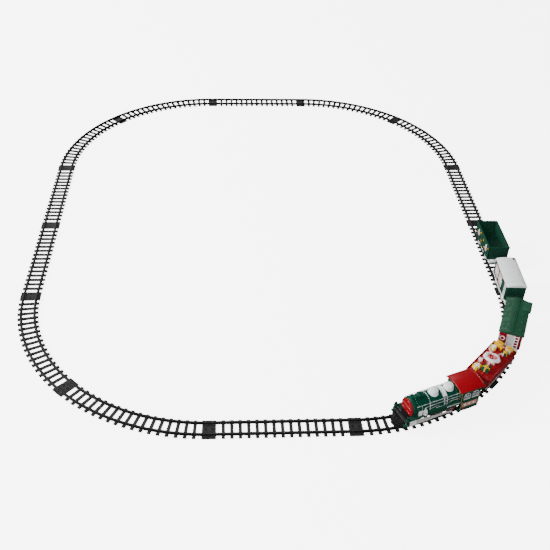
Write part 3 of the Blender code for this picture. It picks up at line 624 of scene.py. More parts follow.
def boiler(car):
    """The banded barrel, its beads and the strap over it."""
    base = BOILER_RADIUS - 0.3
    raised = BOILER_RADIUS + 0.15
    stations = [(BOILER_BACK, base), (-37, base), (-36.8, raised), (-35.2, raised), (-35, base), (-18, base),
                (17.6, base), (17.8, raised), (20.2, raised), (20.4, base), (41.6, base), (41.8, raised),
                (43.4, raised), (43.6, base), (46, base), (46.4, BOILER_RADIUS + 0.45),
                (51.4, BOILER_RADIUS + 0.45), (BOILER_FRONT, BOILER_RADIUS)]
    shell = Shape()
    round_shell(shell, stations, 1.6)
    for x in (47.4, 50.4):
        for k in range(23):
            shell.ball(on_boiler(x, -32 + 244 * k / 22, BOILER_RADIUS + 0.45), (0.5, 0.5, 0.5), 4)
    car.add("boiler_shell_banded", shell, GREEN, "boiler_shell")

    beads = Shape()
    for k in range(25):
        beads.ball(on_boiler(19, -30 + 240 * k / 24, BOILER_RADIUS + 0.1), (1.0, 0.95, 0.95), 6)
    for x in (-36, 42.6):
        for k in range(21):
            beads.ball(on_boiler(x, -30 + 240 * k / 20, BOILER_RADIUS + 0.15), (0.45, 0.45, 0.45), 4)
    car.add("boiler_band_beads", beads, SILVER)

    strap = Shape()
    rim = [(-16, 17.6), (-15.8, 18.3), (-8.2, 18.3), (-8, 17.6)]
    round_shell(strap, rim, 0.9, 42, 138, 22)
    round_shell(strap, [(-14.6, 18.6), (-13.6, 18.6)], 0.5, 42, 138, 22)
    round_shell(strap, [(-10.4, 18.6), (-9.4, 18.6)], 0.5, 42, 138, 22)
    car.add("boiler_strap", strap, WHITE)


def boiler_pipes(name, side, car):
    """Handrail, pipes and their brackets on one side of the boiler."""
    flip = MIRROR[side]
    pipes = Shape()
    rail = [on_boiler(x, 34, 18.9) for x in (45, 44, 20, 0, -20, -40)]
    pipes.tube(rail, 0.42, 8, matrix=flip)
    lower = [on_boiler(30, -20, 17.8), on_boiler(30, 10, 18.4), on_boiler(28, 17, 18.6)]
    pipes.tube(lower + [on_boiler(x, 19, 18.6) for x in (10, -10, -40)], 0.42, 8, matrix=flip)
    for start, end, angle in ((16, 2, 2), (-20, -38, 4), (6, -5, -12)):
        curl = [on_boiler(start, angle - 12, 17.4), on_boiler(start, angle - 3, 18.3)]
        pipes.tube(curl + [on_boiler(x, angle, 18.4) for x in (start - 2, end)], 0.4, 8, matrix=flip)
    for x in (-15.2, -8.8):
        pipes.tube([on_boiler(x, a, 18.2) for a in range(42, -31, -6)], 0.45, 8, matrix=flip)
    for a in (27, 10, -5, -20):
        pipes.tube([on_boiler(-15.2, a, 18.4), on_boiler(-8.8, a, 18.4)], 0.4, 6, matrix=flip)
    for x in (42, 30, 12, -4, -22, -34):
        pipes.tube([on_boiler(x, 34, 17), on_boiler(x, 34, 19.1)], 0.4, 6, matrix=flip)
        pipes.ball(on_boiler(x, 34, 18.9), (0.75, 0.75, 0.75), 5, flip)
    for x in (16, -24, -34):
        pipes.ball(on_boiler(x, 19, 18.6), (1.0, 0.75, 0.75), 5, flip)
    pipes.tube([on_boiler(36, 34, 18.9), on_boiler(35, 20, 18.4), on_boiler(35, -4, 18.2)], 0.42, 6,
               matrix=flip)
    car.add(f"boiler_pipes_{name}", pipes, SILVER)


def air_pump(name, side, car):
    """The pump and the tank beside the front of the boiler."""
    pump = Shape().on(side)
    profile = [(0, 28.4), (3.9, 28.4), (3.9, 29.6), (3.2, 30), (3.2, 33.6), (3.6, 34), (3.6, 35), (3.0, 35.4),
               (3.0, 38), (2.2, 39.2), (0, 39.6)]
    pump.lathe(profile, (28, side * 18.2, 0), sides=20)
    pump.slab(34.2, 41.2, 28.4, 39.2, 16.4, 18.7, 0.5)
    pump.slab(35.2, 40.2, 30, 37.8, 18.5, 19.2, 0.3)
    pump.tube([(34.6, side * 18, 37), (31.4, side * 18.4, 37.4), (28.6, side * 18.2, 38)], 0.8, 8)
    car.add(f"air_pump_{name}", pump, WHITE)


def running_board(name, side, car):
    """The footboard along one side, with its valance and end."""
    boards = Shape().on(side)
    boards.slab(BOILER_BACK, 60, BOARD_TOP, BOARD_TOP + 0.7, 13.6, 21.3, 0.2)
    boards.slab(BOILER_BACK, 60, 25.6, BOARD_TOP + 0.7, 20.8, 21.5, 0.2)
    boards.rivets([(x, side * 21.5, 27.3) for x in range(-38, 58, 6)], 0.45, 0.3, side=side)
    boards.slab(59.4, 60.2, 23.9, BOARD_TOP + 0.7, 13.6, 21.3, 0.2)
    car.add(f"running_board_{name}", boards, DEEP_GREEN)


def boiler_skirt(name, side, car):
    """The sloping skirt between boiler and footboard, with its ribs."""
    skirt = [(side * 14.4, BOARD_TOP + 0.5), (side * 19.2, BOARD_TOP + 0.5), (side * 18.6, 31.6),
             (side * 17.2, 34.4), (side * 16.8, 34)]
    shelf = Shape().on(side).prism(skirt, BOILER_BACK + 0.2, 22, "X", 0.25)
    for x in range(-38, 22, 10):
        shelf.slab(x - 0.5, x + 0.5, BOARD_TOP + 0.4, 31.4, 16.5, 19.5, 0.2)
    car.add(f"boiler_skirt_{name}", shelf, GREEN)


def frame_side(name, side, car):
    """The ribbed red frame plate, and the silver strip on the footboard."""
    plates = Shape().on(side).slab(-60, 56, 8.0, 25.4, 8.25, 9.0, 0.2)
    for x in range(-58, 56, 5):
        plates.slab(x - 0.4, x + 0.4, 9.4, 25, 8.6, 9.15, 0.1)
    car.add(f"frame_side_plate_{name}", plates, RED)
    strip = Shape().on(side).slab(BOILER_BACK + 0.4, -15, BOARD_TOP + 0.6, BOARD_TOP + 1.6, 19.3, 21, 0.25)
    car.add(f"running_board_strip_{name}", strip, SILVER)


def boiler_top(car):
    """Chimney, bell and the two white domes."""
    chimney = Shape().lathe([(0, 54), (5.6, 54), (5.4, 57), (4.2, 58), (3.5, 59.4), (3.4, 61.2), (4.5, 62.2),
                             (4.7, 63.2), (4.2, 63.5), (3.4, 63.2), (3.2, 62.2), (0, 62)], (CHIMNEY_X, 0, 0),
                            sides=28)
    car.add("chimney_flared", chimney, GREEN, "chimney")
    bell = Shape().lathe([(0, 53), (6.6, 53), (6.4, 56.6), (5.2, 57.4), (5.0, 58.4), (5.9, 59.2), (6.2, 60.8),
                          (5.8, 62.6), (4.6, 63.9), (2.4, 64.6), (0, 64.8)], (BELL_X, 0, 0), sides=28)
    car.add("bell_dome_ringed", bell, DEEP_GREEN, "bell_dome")
    profile = [(0, 51), (9.7, 51), (9.7, 54.6), (9.2, 55.8), (8.8, 56.4), (8.7, 59.2), (8.4, 60.4),
               (7.7, 61.3), (6.9, 61.6), (6.6, 61.4), (6.2, 61.4), (5.8, 61.8), (3.5, 62.3), (0, 62.4)]
    for name, x in (("steam_dome_front", FRONT_DOME_X), ("steam_dome_rear", REAR_DOME_X)):
        dome = Shape().lathe(profile, (x, 0, 0), sides=36)
        car.add(f"{name}_turned", dome, WHITE, name)


def smokebox_front(car):
    """The red cap with its door, straps and clamps, which pulls off forward."""
    profile = [(0, 52.4), (16.1, 52.4), (16.4, 52.8), (16.4, 54.3), (15.9, 54.9), (14.0, 55.1), (13.6, 54.5),
               (12.9, 54.5), (12.5, 55.2), (8, 56.0), (6.2, 56.1), (5.8, 56.7), (3.4, 57.2), (0, 57.4)]
    door = turned(profile, 48)
    bmesh.ops.transform(door, matrix=Matrix.Translation((0, 0, BOILER_AXIS)) @ STAND["X"],
                        verts=door.verts[:])
    sliced = bmesh.ops.bisect_plane(door, geom=door.verts[:] + door.edges[:] + door.faces[:],
                                    plane_co=(0, 0, BOARD_TOP + 1.0), plane_no=(0, 0, -1), clear_outer=True)
    rim = [e for e in sliced["geom_cut"] if isinstance(e, bmesh.types.BMEdge)]
    bmesh.ops.contextual_create(door, geom=rim)
    cap = Shape().take(door)
    for z in (44.2, 34.4):
        cap.box((54.8, -11.6, z - 0.9), (56.7, 11.6, z + 0.9), 0.3)
        cap.tube([(56, -12.4, z - 1.6), (56, -12.4, z + 1.6)], 0.9, 8)
    for k in range(12):
        angle = 30 * k + 15
        if 205 < angle < 335:
            continue
        cap.box((54.6, 12.6, BOILER_AXIS - 0.8), (56.0, 15.2, BOILER_AXIS + 0.8), 0.25,
                turned_about((55, 0, BOILER_AXIS), angle, "X"))
    for angle in (45, 135):
        cap.box((56.6, -3.4, BOILER_AXIS - 0.45), (57.5, 3.4, BOILER_AXIS + 0.45), 0.2,
                turned_about((57, 0, BOILER_AXIS), angle, "X"))
    car.add("smokebox_door", cap, RED, "smokebox_cap", "smokebox_cap")
    spigot = Shape()
    round_shell(spigot, [(47.5, 15.0), (52.6, 15.0)], 1.4, -26, 206, 36)
    car.add("smokebox_spigot", spigot, RED, body="smokebox_cap")


def cab_windows(name, side, car):
    """Arched window frames with their bars."""
    face = side * CAB_HALF
    trim = Shape().on(side, CAB_HALF)
    for x in (-70.4, -53.2):
        outer, inner = arch(x - 7.0, x + 7.0, 35.2, 43.4), arch(x - 5.9, x + 5.9, 36.3, 43.4)
        trim.frame(outer, inner, face - side * 1.2, face + side * 0.6, "Y", 0.15)
        for bar in (-2, 2):
            trim.slab(x + bar - 0.4, x + bar + 0.4, 36, 48.8, -1.0, 0.2, 0.1)
        trim.slab(x - 6, x + 6, 41.4, 42.2, -1.0, 0.2, 0.1)
    car.add(f"cab_window_frames_{name}", trim, SILVER)


def cab_trim(name, side, car):
    """A striped label with three stars, and gilt rails at the corners."""
    face = side * CAB_HALF
    gilt = Shape().frame(*border(-77, 17.2, -45.6, 27.4, 1), face - side * 0.2, face + side * 0.5, "Y", 0.1)
    for x, foot, head in ((-43.4, 13, 33), (-78.8, 15, 50)):
        rail = ((0.9, foot), (1.2, foot + 3), (1.2, head - 2), (0.2, head))
        gilt.tube([(x, face + side * out, z) for out, z in rail], 0.45, 6)
    car.add(f"cab_gold_trim_{name}", gilt, GOLD)
    label = Shape().on(side, CAB_HALF).slab(-75.9, -46.7, 18.3, 26.3, -0.1, 0.25, 0.08)
    car.add(f"cab_label_{name}", label, LABEL)
    stars = Shape()
    for x in (-70, -61.3, -52.6):
        stars.prism(star((x, 22.3), 3.1, 1.3), face + side * 0.2, face + side * 0.6, "Y", 0.05)
    car.add(f"cab_label_stars_{name}", stars, WHITE)


def cab_panels(name, side, car):
    """Raised borders with rivets, a hanging step and a side lamp."""
    face = side * CAB_HALF
    panels = Shape().on(side, CAB_HALF)
    panels.slab(-79, -43, 28.6, 29.8, -0.2, 0.5, 0.2)
    panels.slab(-79.5, -42.5, 9.2, 11.6, -0.2, 0.5, 0.2)
    panels.slab(-79.6, -78, 9.2, 53.6, -0.2, 0.5, 0.2)
    panels.slab(-44, -42.4, 12, 53.6, -0.2, 0.5, 0.2)
    panels.slab(-79, -43, 51.2, 52.4, -0.2, 0.4, 0.2)
    panels.rivets([(x, face, 14.4) for x in range(-76, -44, 4)], side=side)
    panels.rivets([(x, face, 31.8) for x in range(-76, -44, 4)], side=side)
    panels.slab(-72, -52, 6.9, 8.1, -6, -0.6, 0.3)
    for x in (-71, -53):
        panels.slab(x - 0.7, x + 0.7, 7, 13, -2, -0.9, 0.2)
    car.add(f"cab_panels_{name}", panels, DEEP_GREEN)
    lamp = Shape().on(side, CAB_HALF).slab(-52, -48.4, 13.0, 16.4, 0.2, 1.0, 0.3)
    lamp.slab(-51.2, -49.2, 13.8, 15.6, 0.8, 1.3, 0.2)
    car.add(f"cab_side_lamp_{name}", lamp, RED)


def roof_arch(half, eave, crown, sheet):
    """Outline points of an arched roof sheet, outer then inner."""
    rise = crown - eave - sheet
    radius = (half * half + rise * rise) / (2 * rise)
    reach = math.degrees(math.asin(half / radius))
    outer = arc(radius, 90 - reach, 90 + reach, 28, (0, crown - radius))
    inner_radius = radius - sheet
    inner_reach = math.degrees(math.asin((half - 0.6) / inner_radius))
    inner = arc(inner_radius, 90 + inner_reach, 90 - inner_reach, 28, (0, crown - radius))
    return outer, inner


def cab_top(car):
    """Arched roof with rolled edges, the gables under it and the boiler's backhead inside."""
    outer, inner = roof_arch(24, 54.3, 61.5, 1.7)
    roof = Shape().prism(outer + inner, -87, -37, "X", 0.45, steps=2)
    for x in (-86, -38):
        roof.prism([(y, z + 0.4) for y, z in outer[1:-1]] + inner[1:-1], x - 0.9, x + 0.9, "X", 0.3)
    car.add("cab_roof_arched", roof, RED, "cab_roof")
    gable = [(y * 0.9, z - 2.2) for y, z in outer]
    gable = [(y, max(z, 53.2)) for y, z in gable] + [(-21.4, 53), (21.4, 53)]
    ends = Shape().prism(gable, -79.8, -78.2, "X", 0.1).prism(gable, -43.8, -42.2, "X", 0.1)
    car.add("cab_gables", ends, GREEN)
    beading = Shape().tube([on_boiler(-41.2, a, 17.9) for a in range(-30, 211, 8)], 0.5, 8)
    for side in (LEFT, RIGHT):
        beading.tube([(-41.9, side * 21.8, 29), (-41.9, side * 21.8, 52.6)], 0.45, 8)
    car.add("cab_front_beading", beading, GOLD)
    head = Shape().lathe([(0, -44.5), (15.4, -44.5), (15.8, -44.9), (15.4, -45.4), (14, -45.6), (0, -45.6)],
                         (0, 0, 40), "X", 32)
    head.box((-46.6, -5, 31), (-45.4, 5, 38), 0.4)
    head.box((-47, -4, 34.2), (-46.4, 5.6, 34.9), 0.1)
    for y, z in ((-7, 46), (0, 49), (7, 46)):
        head.lathe([(0, -45.4), (2.3, -45.4), (2.3, -46.6), (1.9, -46.6), (1.7, -46.2), (0, -46.2)],
                   (0, y, z), "X", 16)
    head.tube([(-46.4, -9, 42), (-48, -9, 43), (-48, 9, 43), (-46.4, 9, 42)], 0.6, 8)
    car.add("backhead", head, FRAME)


def front_beam(car):
    """Buffer beam, slatted plough and the two marker lamps."""
    keep("cowcatcher", FRAME, 0.3)
    slats = Shape()
    corners = [(66.2, 21), (80.0, 3), (80.0, -3), (66.2, -21)]
    for (x0, y0), (x1, y1), count in zip(corners, corners[1:], (7, 2, 7)):
        for k in range(count + 1):
            x, y = x0 + (x1 - x0) * k / count, y0 + (y1 - y0) * k / count
            top = Vector((63 + (x - 63) * 0.45 + 0.4, y, 20.4))
            middle = Vector((x + 0.2, y, 13.8))
            slats.tube([Vector((x + 0.2, y, 8.9)), middle, top], 0.85, 6)
        slats.tube([(x0 + 0.3, y0, 9.4), (x1 + 0.3, y1, 9.4)], 0.9, 6)
    slats.box((60.6, -22.4, 23.2), (66.6, 22.4, 24.4), 0.3)
    slats.rivets([(67, y, 19.2) for y in range(-20, 21, 5)], 0.7, 0.5, axis="X")
    slats.tube([(67, 0, 18), (72.5, 0, 18), (73.5, 0, 19.2)], 0.9, 8)
    car.add("plough_slats", slats, FRAME)
    for name, side in SIDES:
        lamp = Shape().lathe([(0, 21.6), (2.4, 21.6), (2.4, 23), (1.3, 23.6), (1.3, 25.6), (3.0, 26.2),
                              (3.2, 27), (3.2, 31), (2.6, 32), (1.4, 32.8), (1.4, 34.6), (1.9, 35), (1.6, 36),
                              (0, 36.1)], (63.5, side * 19.7, 0), sides=20)
        lamp.lathe([(0, 66.2), (2.1, 66.2), (2.1, 66.9), (1.6, 67.1), (0, 66.9)], (0, side * 19.7, 29), "X",
                   16)
        lamp.on(side)
        lamp.slab(60.2, 67.4, 14.6, 22.4, 17.4, 22.9, 0.8)
        lamp.lathe([(0, 67), (1.9, 67), (1.9, 69), (2.6, 69.2), (2.4, 70), (0, 70.2)], (0, side * 20.1, 18.4),
                   "X", 18)
        car.add(f"marker_lamp_{name}", lamp, GREEN)


def valve_gear(name, side, car):
    """Steam chest and cylinder, with crosshead, guide bars and rods moulded on a long plate."""
    block = Shape()
    chest = [(44.8, 17), (46, 24.6), (59, 25.1), (59.8, 24), (59.8, 17)]
    block.prism(chest, side * 16, side * 21.4, "Y", 0.5)
    profile = [(0, 44.8), (4.6, 44.8), (5.2, 45.4), (5.2, 46.6), (4.6, 47), (4.6, 57.4), (5.2, 57.8),
               (5.2, 59), (4.4, 59.8), (1.6, 59.8), (1.4, 60.2), (0, 60.2)]
    block.lathe(profile, (0, side * 16.7, 14.4), "X", 24)
    block.rivets([(x, side * 21.4, z) for x in (48, 52, 56) for z in (20, 23)], side=side)
    car.add(f"{name}_cylinder", block, WHITE, name)
    plate = Shape().on(side)
    outline = [(-28, 11.6), (-29.4, 13.2), (-27, 14.8), (10, 18.8), (44.8, 22.2), (44.8, 12.2), (10, 11.4)]
    plate.prism(outline, side * 18.4, side * 19.3, "Y", 0.2)
    outer = [(-27, 12.4), (-28, 13.4), (-26.6, 14.2), (12, 17.2), (12, 13.8)]
    plate.prism(outer, side * 19.1, side * 20.1, "Y", 0.25)
    for z in (12.6, 19.4):
        plate.slab(12, 44.4, z - 0.7, z + 0.7, 19.1, 20.2, 0.25)
    plate.slab(17, 24, 12.4, 19.6, 18.9, 20.6, 0.5)
    plate.tube([(24, side * 19.8, 15.9), (45, side * 19.8, 15.9)], 0.8, 8)
    plate.tube([(-24, side * 19.4, 15.4), (-4, side * 20.0, 17.6), (14, side * 19.8, 18.4)], 0.7, 8)
    for x, z in ((-25.6, 13.3), (14, 15.9), (-4, 17.4), (20.5, 16)):
        plate.lathe([(0, 19), (1.9, 19), (1.9, 20.6), (1.3, 20.9), (0, 20.9)], (x, 0, z), "Y", 16,
                    MIRROR[side])
    car.add(f"{name}_rods", plate, GREY)


def side_rod(name, side, car):
    """The rod between the driving wheels, with a fluted middle and round bosses."""
    pivot = car.place.inverted() @ Vector(JOINTS[f"{name}_swing"]["pos_m"]) / MM
    x, z = pivot.x, pivot.z
    rod = Shape().on(side)
    profile = [(1.55, 15.4), (2.4, 15.4), (2.4, 16.8), (1.55, 16.8), (1.55, 15.4)]
    for end in (0, ROD_LENGTH):
        rod.lathe([(r, y * side) for r, y in profile], (x + end, 0, z), "Y", 20)
    for inside, outside, half in ((15.5, 16.2, 1.1), (16.2, 16.7, 0.45)):
        rod.slab(x + 2.1, x + ROD_LENGTH - 2.1, z - half, z + half, inside, outside, 0.15)
    for lip in (z + 0.65, z - 1.15):
        rod.slab(x + 2.1, x + ROD_LENGTH - 2.1, lip, lip + 0.5, 16.1, 16.75, 0.1)
    car.add(f"{name}_fluted", rod, STEEL, name, name, "silver")
    return x, z


def drive(car):
    """Motor, gear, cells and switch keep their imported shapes."""
    keep("motor", STEEL, 0.4)
    keep("drive_gear", NYLON)
    keep("cell_left", CELL, 0.3)
    keep("cell_right", CELL, 0.3)
    keep("power_switch", WHITE, 0.3)
    ends = Shape()
    for side in (LEFT, RIGHT):
        tip = [(0, 34.2), (6.6, 34.2), (6.6, 34.7), (2.5, 34.8), (2.5, 35.9), (0, 35.9)]
        ends.lathe(tip, (0, side * 7.3, BOILER_AXIS), "X", 20)
    ends.lathe([(0, -17), (3, -17), (3, -15.6), (0, -15.6)], (0, 0, BOILER_AXIS), "X", 16)
    car.add("cell_terminals", ends, STEEL)


def locomotive():
    car = Vehicle("locomotive", "drivers_rear_spin", "pilot_wheels_spin", REAR_DRIVER_X)
    keep("loco_chassis", FRAME, 0.25)
    boiler(car)
    for name, side in SIDES:
        for part in (boiler_pipes, air_pump, running_board, boiler_skirt, frame_side):
            part(name, side, car)
    boiler_top(car)
    smokebox_front(car)
    keep("cab", GREEN, 0.4)
    for name, side in SIDES:
        for part in (cab_windows, cab_trim, cab_panels):
            part(name, side, car)
    cab_top(car)
    front_beam(car)
    cranks = []
    for name, side in SIDES:
        valve_gear(f"valve_gear_{name}", side, car)
        cranks.append((side, *side_rod(f"side_rod_{name}", side, car)))
    wheelset("drivers_rear", car, REAR_DRIVER_X, DRIVER, RED, spokes=10, cranks=cranks)
    forward = [(side, x + ROD_LENGTH, z) for side, x, z in cranks]
    wheelset("drivers_front", car, REAR_DRIVER_X + ROD_LENGTH, DRIVER, RED, spokes=10, flange=False,
             cranks=forward)
    wheelset("pilot_wheels", car, PILOT_X, SMALL_WHEEL, RED, spokes=6)
    drive(car)


# ---------------------------------------------------------------- tender

def tender_body(car):
    """Flared red body with raised panels, a pale trim line and a rim round the load."""
    flare = [(18, 24.3), (20.5, 26.4), (21.2, 34), (22, 40), (22.7, 43)]
    outline = flare + [(-y, z) for y, z in reversed(flare)]
    body = Shape().prism(outline, -50.2, 50.2, "X", 0.5)
    for side in (LEFT, RIGHT):
        wall = [(22.4, 42.4), (23.7, 45.4), (23.7, 47.4), (23.2, 48), (21.9, 48), (21.4, 47.4), (20.2, 42.4)]
        body.prism([(side * y, z) for y, z in wall], -50.5, 50.5, "X", 0.35)
        lean = turned_about((0, side * 21.2, 33), side * -5.5, "X")
        for x in (-33, 0, 33):
            body.frame(*border(x - 14.5, 27.6, x + 14.5, 39.4, 1.2), side * 20.9, side * 21.8, "Y", 0.2, lean)
            body.lathe([(0, 20.9), (3.6, 20.9), (3.6, 21.6), (2.9, 22), (2.2, 21.6), (0, 21.7)], (x, 0, 33.5),
                       "Y", 20, lean @ MIRROR[side])
        body.rivets([(x, side * 22.1, 41.2) for x in range(-48, 49, 4)], 0.5, 0.4, side=side)
    for end in (-1, 1):
        body.prism([(-22.2, 42.4), (22.2, 42.4), (23.4, 45.4), (23.4, 48), (-23.4, 48), (-23.4, 45.4)],
                   end * 48.2, end * 50.5, "X", 0.4)
        for y in (-13, 0, 13):
            body.box((end * 50, y - 5.4, 27.5), (end * 51, y + 5.4, 40), 0.4)
        body.box((end * 50, -18.6, 25), (end * 50.8, 18.6, 26.4), 0.3)
    car.add("tender_body_flared", body, RED, "tender_body")
    front = Shape().box((50.2, -19.4, 26.8), (51.3, 19.4, 41.8), 0.4)
    for y in (-15, -9, -3, 3, 9, 15):
        front.box((51.0, y - 0.5, 27.6), (51.7, y + 0.5, 41), 0.15)
    front.rivets([(51.3, y, 34) for y in (-18, -12, -6, 0, 6, 12, 18)], 0.6, 0.5, axis="X")
    car.add("tender_front_panel", front, DEEP_GREEN)
    trim = Shape()
    for side in (LEFT, RIGHT):
        trim.on(side)
        trim.slab(-50.6, 50.6, 24.5, 26.5, 19.6, 21.2, 0.3)
        trim.rivets([(x, side * 21.2, 25.5) for x in range(-48, 49, 6)], 0.45, 0.3, side=side)
    car.add("tender_trim", trim, GREY)


def parcel(name, car, centre, size, turn, paper, ribbon, tilt=0):
    """A wrapped box with crossed ribbons and a bow."""
    half = Vector(size) / 2
    spin = turned_about(centre, turn) @ turned_about(centre, tilt, "X")
    low, high = Vector(centre) - half, Vector(centre) + half
    wrapped = Shape().box(low, high, 0.7, spin, 2)
    car.add(name, wrapped, paper)
    bands = Shape()
    x, y = centre[:2]
    bands.box((x - 1.2, low.y - 0.3, low.z), (x + 1.2, high.y + 0.3, high.z + 0.35), 0.3, spin)
    bands.box((low.x - 0.3, y - 1.2, low.z), (high.x + 0.3, y + 1.2, high.z + 0.35), 0.3, spin)
    top = high.z + 0.3
    for angle in (25, 115, 205, 295):
        loop = []
        for k in range(13):
            t = math.tau * k / 12
            reach = 2.3 - 2.3 * math.cos(t)
            loop.append((x + reach * 0.8, y + 1.5 * math.sin(t) * math.sin(t / 2),
                         top + 0.9 + 0.8 * math.sin(t)))
        bands.tube(loop[1:-1], 0.55, 6, matrix=spin @ turned_about((x, y, top), angle))
    bands.ball((x, y, top + 0.9), (1.2, 1.2, 1.0), 6, spin)
    car.add(f"{name}_ribbon", bands, ribbon)


def sack_point(co):
    """Folds that gather towards the neck of the sack."""
    around = math.atan2(co.y + 1, co.x)
    height = max(0.0, min(1.0, (co.z - 44) / 12))
    fold = 1 + (0.05 + 0.07 * height) * math.sin(9 * around) - 0.03 * math.sin(4 * around + 1)
    return Vector((co.x * fold, (co.y + 1) * fold - 1, co.z))


def gift_bed(car):
    """The lumpy red bed of the load."""
    bed = Shape().box((-47.6, -20.4, 41.8), (47.6, 20.4, 47.2), 0.5)
    bed.prism([(-18.5, 46.8), (18.5, 46.8), (17.2, 48.2), (7, 49.4), (-15, 49.4), (-17.4, 48.2)], -45.5, 45.5,
              "X", 0.5)
    shuffle = random.Random(7)
    for x in range(-42, 43, 7):
        for y in (-14, -7, 0, 7):
            size = 3.0 + 1.6 * shuffle.random()
            at = (x + shuffle.uniform(-1.5, 1.5), y + shuffle.uniform(-1, 1), 48.8)
            bed.ball(at, (size, size * 0.9, size * 0.55), 5)
    for x in (-30, -10, 10, 30):
        bed.tube([(x - 6, 19.2, 47.4), (x, 14, 48.9), (x + 3, 9, 49.8)], 0.9, 8)
    car.add("gift_bed", bed, RED, "gift_load")


def gift_sack(car):
    """An open sack with a fur trim and two parcels in it."""
    sack = Shape().ball((0, -1, 47.5), (17.5, 15.6, 8.4), 14)
    sack.bend(sack_point)
    car.add("gift_sack", sack, RED, smooth=60, subdivide=1)
    fur = Shape()
    for k in range(30):
        t = math.tau * k / 30
        reach = 1 + 0.05 * math.sin(5 * t)
        at = (1 + 8.6 * reach * math.cos(t), -1 + 11.8 * reach * math.sin(t), 53.6 + 0.5 * math.sin(3 * t))
        fur.ball(at, (4.1, 4.3, 2.6), 6)
    car.add("sack_fur_trim", fur, FUR, smooth=60)
    parcel("parcel_in_sack", car, (1.6, -3.6, 54.2), (7.5, 7, 6), 14, PINK, RED, 6)
    parcel("parcel_in_sack_small", car, (0, 4, 53.8), (6, 6, 6), -24, RED, PINK, -5)


def candy_canes(car):
    canes = Shape()
    for x, y, turn, size in ((18, 3, 100, 1.6), (-16, -14, 150, 1.15), (-18, 5, 60, 1.1), (-41, 3, 10, 0.9)):
        hook = [(0, -9, 0), (0, 2, 0)] + [(2.2 - 2.2 * math.cos(a), 2 + 2.2 * math.sin(a), 0)
                                         for a in (0.5, 1.0, 1.6, 2.1, 2.6, 3.1)]
        lay = Matrix.Translation((x, y, 51.6)) @ Matrix.Rotation(math.radians(turn), 4, "Z") \
            @ Matrix.Rotation(math.radians(4), 4, "X") @ Matrix.Scale(size, 4)
        canes.tube(hook, 1.35, 10, matrix=lay)
    car.add("candy_canes", canes, CANE, smooth=60)


def loose_parcels(car):
    for name, centre, size, turn, paper, ribbon in (
            ("middle_front", (32, 4.5, 51), (15, 13, 9), 8, GREEN, YELLOW),
            ("inner_front", (38, -10.5, 50.8), (14, 11, 9), -10, YELLOW, WHITE),
            ("inner_rear", (-25, -12.5, 51), (11, 10, 9.5), 16, YELLOW, WHITE),
            ("inner_end", (-41, -9.5, 51.5), (11, 14, 10), -6, YELLOW, YELLOW),
            ("middle_rear", (-33, -1.5, 50.5), (7, 8, 8), 24, RED, YELLOW),
            ("outer_rear", (-26.5, 10.5, 50.6), (9, 9, 8.5), -18, GREEN, YELLOW),
            ("outer_end", (-36.5, 11.5, 50.8), (9, 10, 9), 12, SILVER, YELLOW),
            ("edge", (-44.2, 10.5, 50), (4.5, 14, 7), -4, YELLOW, YELLOW),
            ("inner_middle", (18.5, -14.2, 50), (9, 7, 7), 18, PINK, WHITE)):
        parcel(f"parcel_{name}", car, centre, size, turn, paper, ribbon)


def tender():
    car = wagon("tender", "tender", TENDER_FRAME, DEEP_GREEN)
    tender_body(car)
    gift_bed(car)
    gift_sack(car)
    candy_canes(car)
    loose_parcels(car)


# ---------------------------------------------------------------- coach

def end_ladder(shape, x, y, z0, z1, half=3.6, rungs=5):
    """Two posts and their rungs standing off an end wall; x is the plane of the rungs."""
    for post in (y - half, y + half):
        shape.tube([(x, post, z0), (x, post, z1)], 0.75, 8)
    for k in range(rungs):
        z = z0 + 1.5 + (z1 - z0 - 3) * k / (rungs - 1)
        shape.tube([(x, y - half, z), (x, y + half, z)], 0.7, 8)


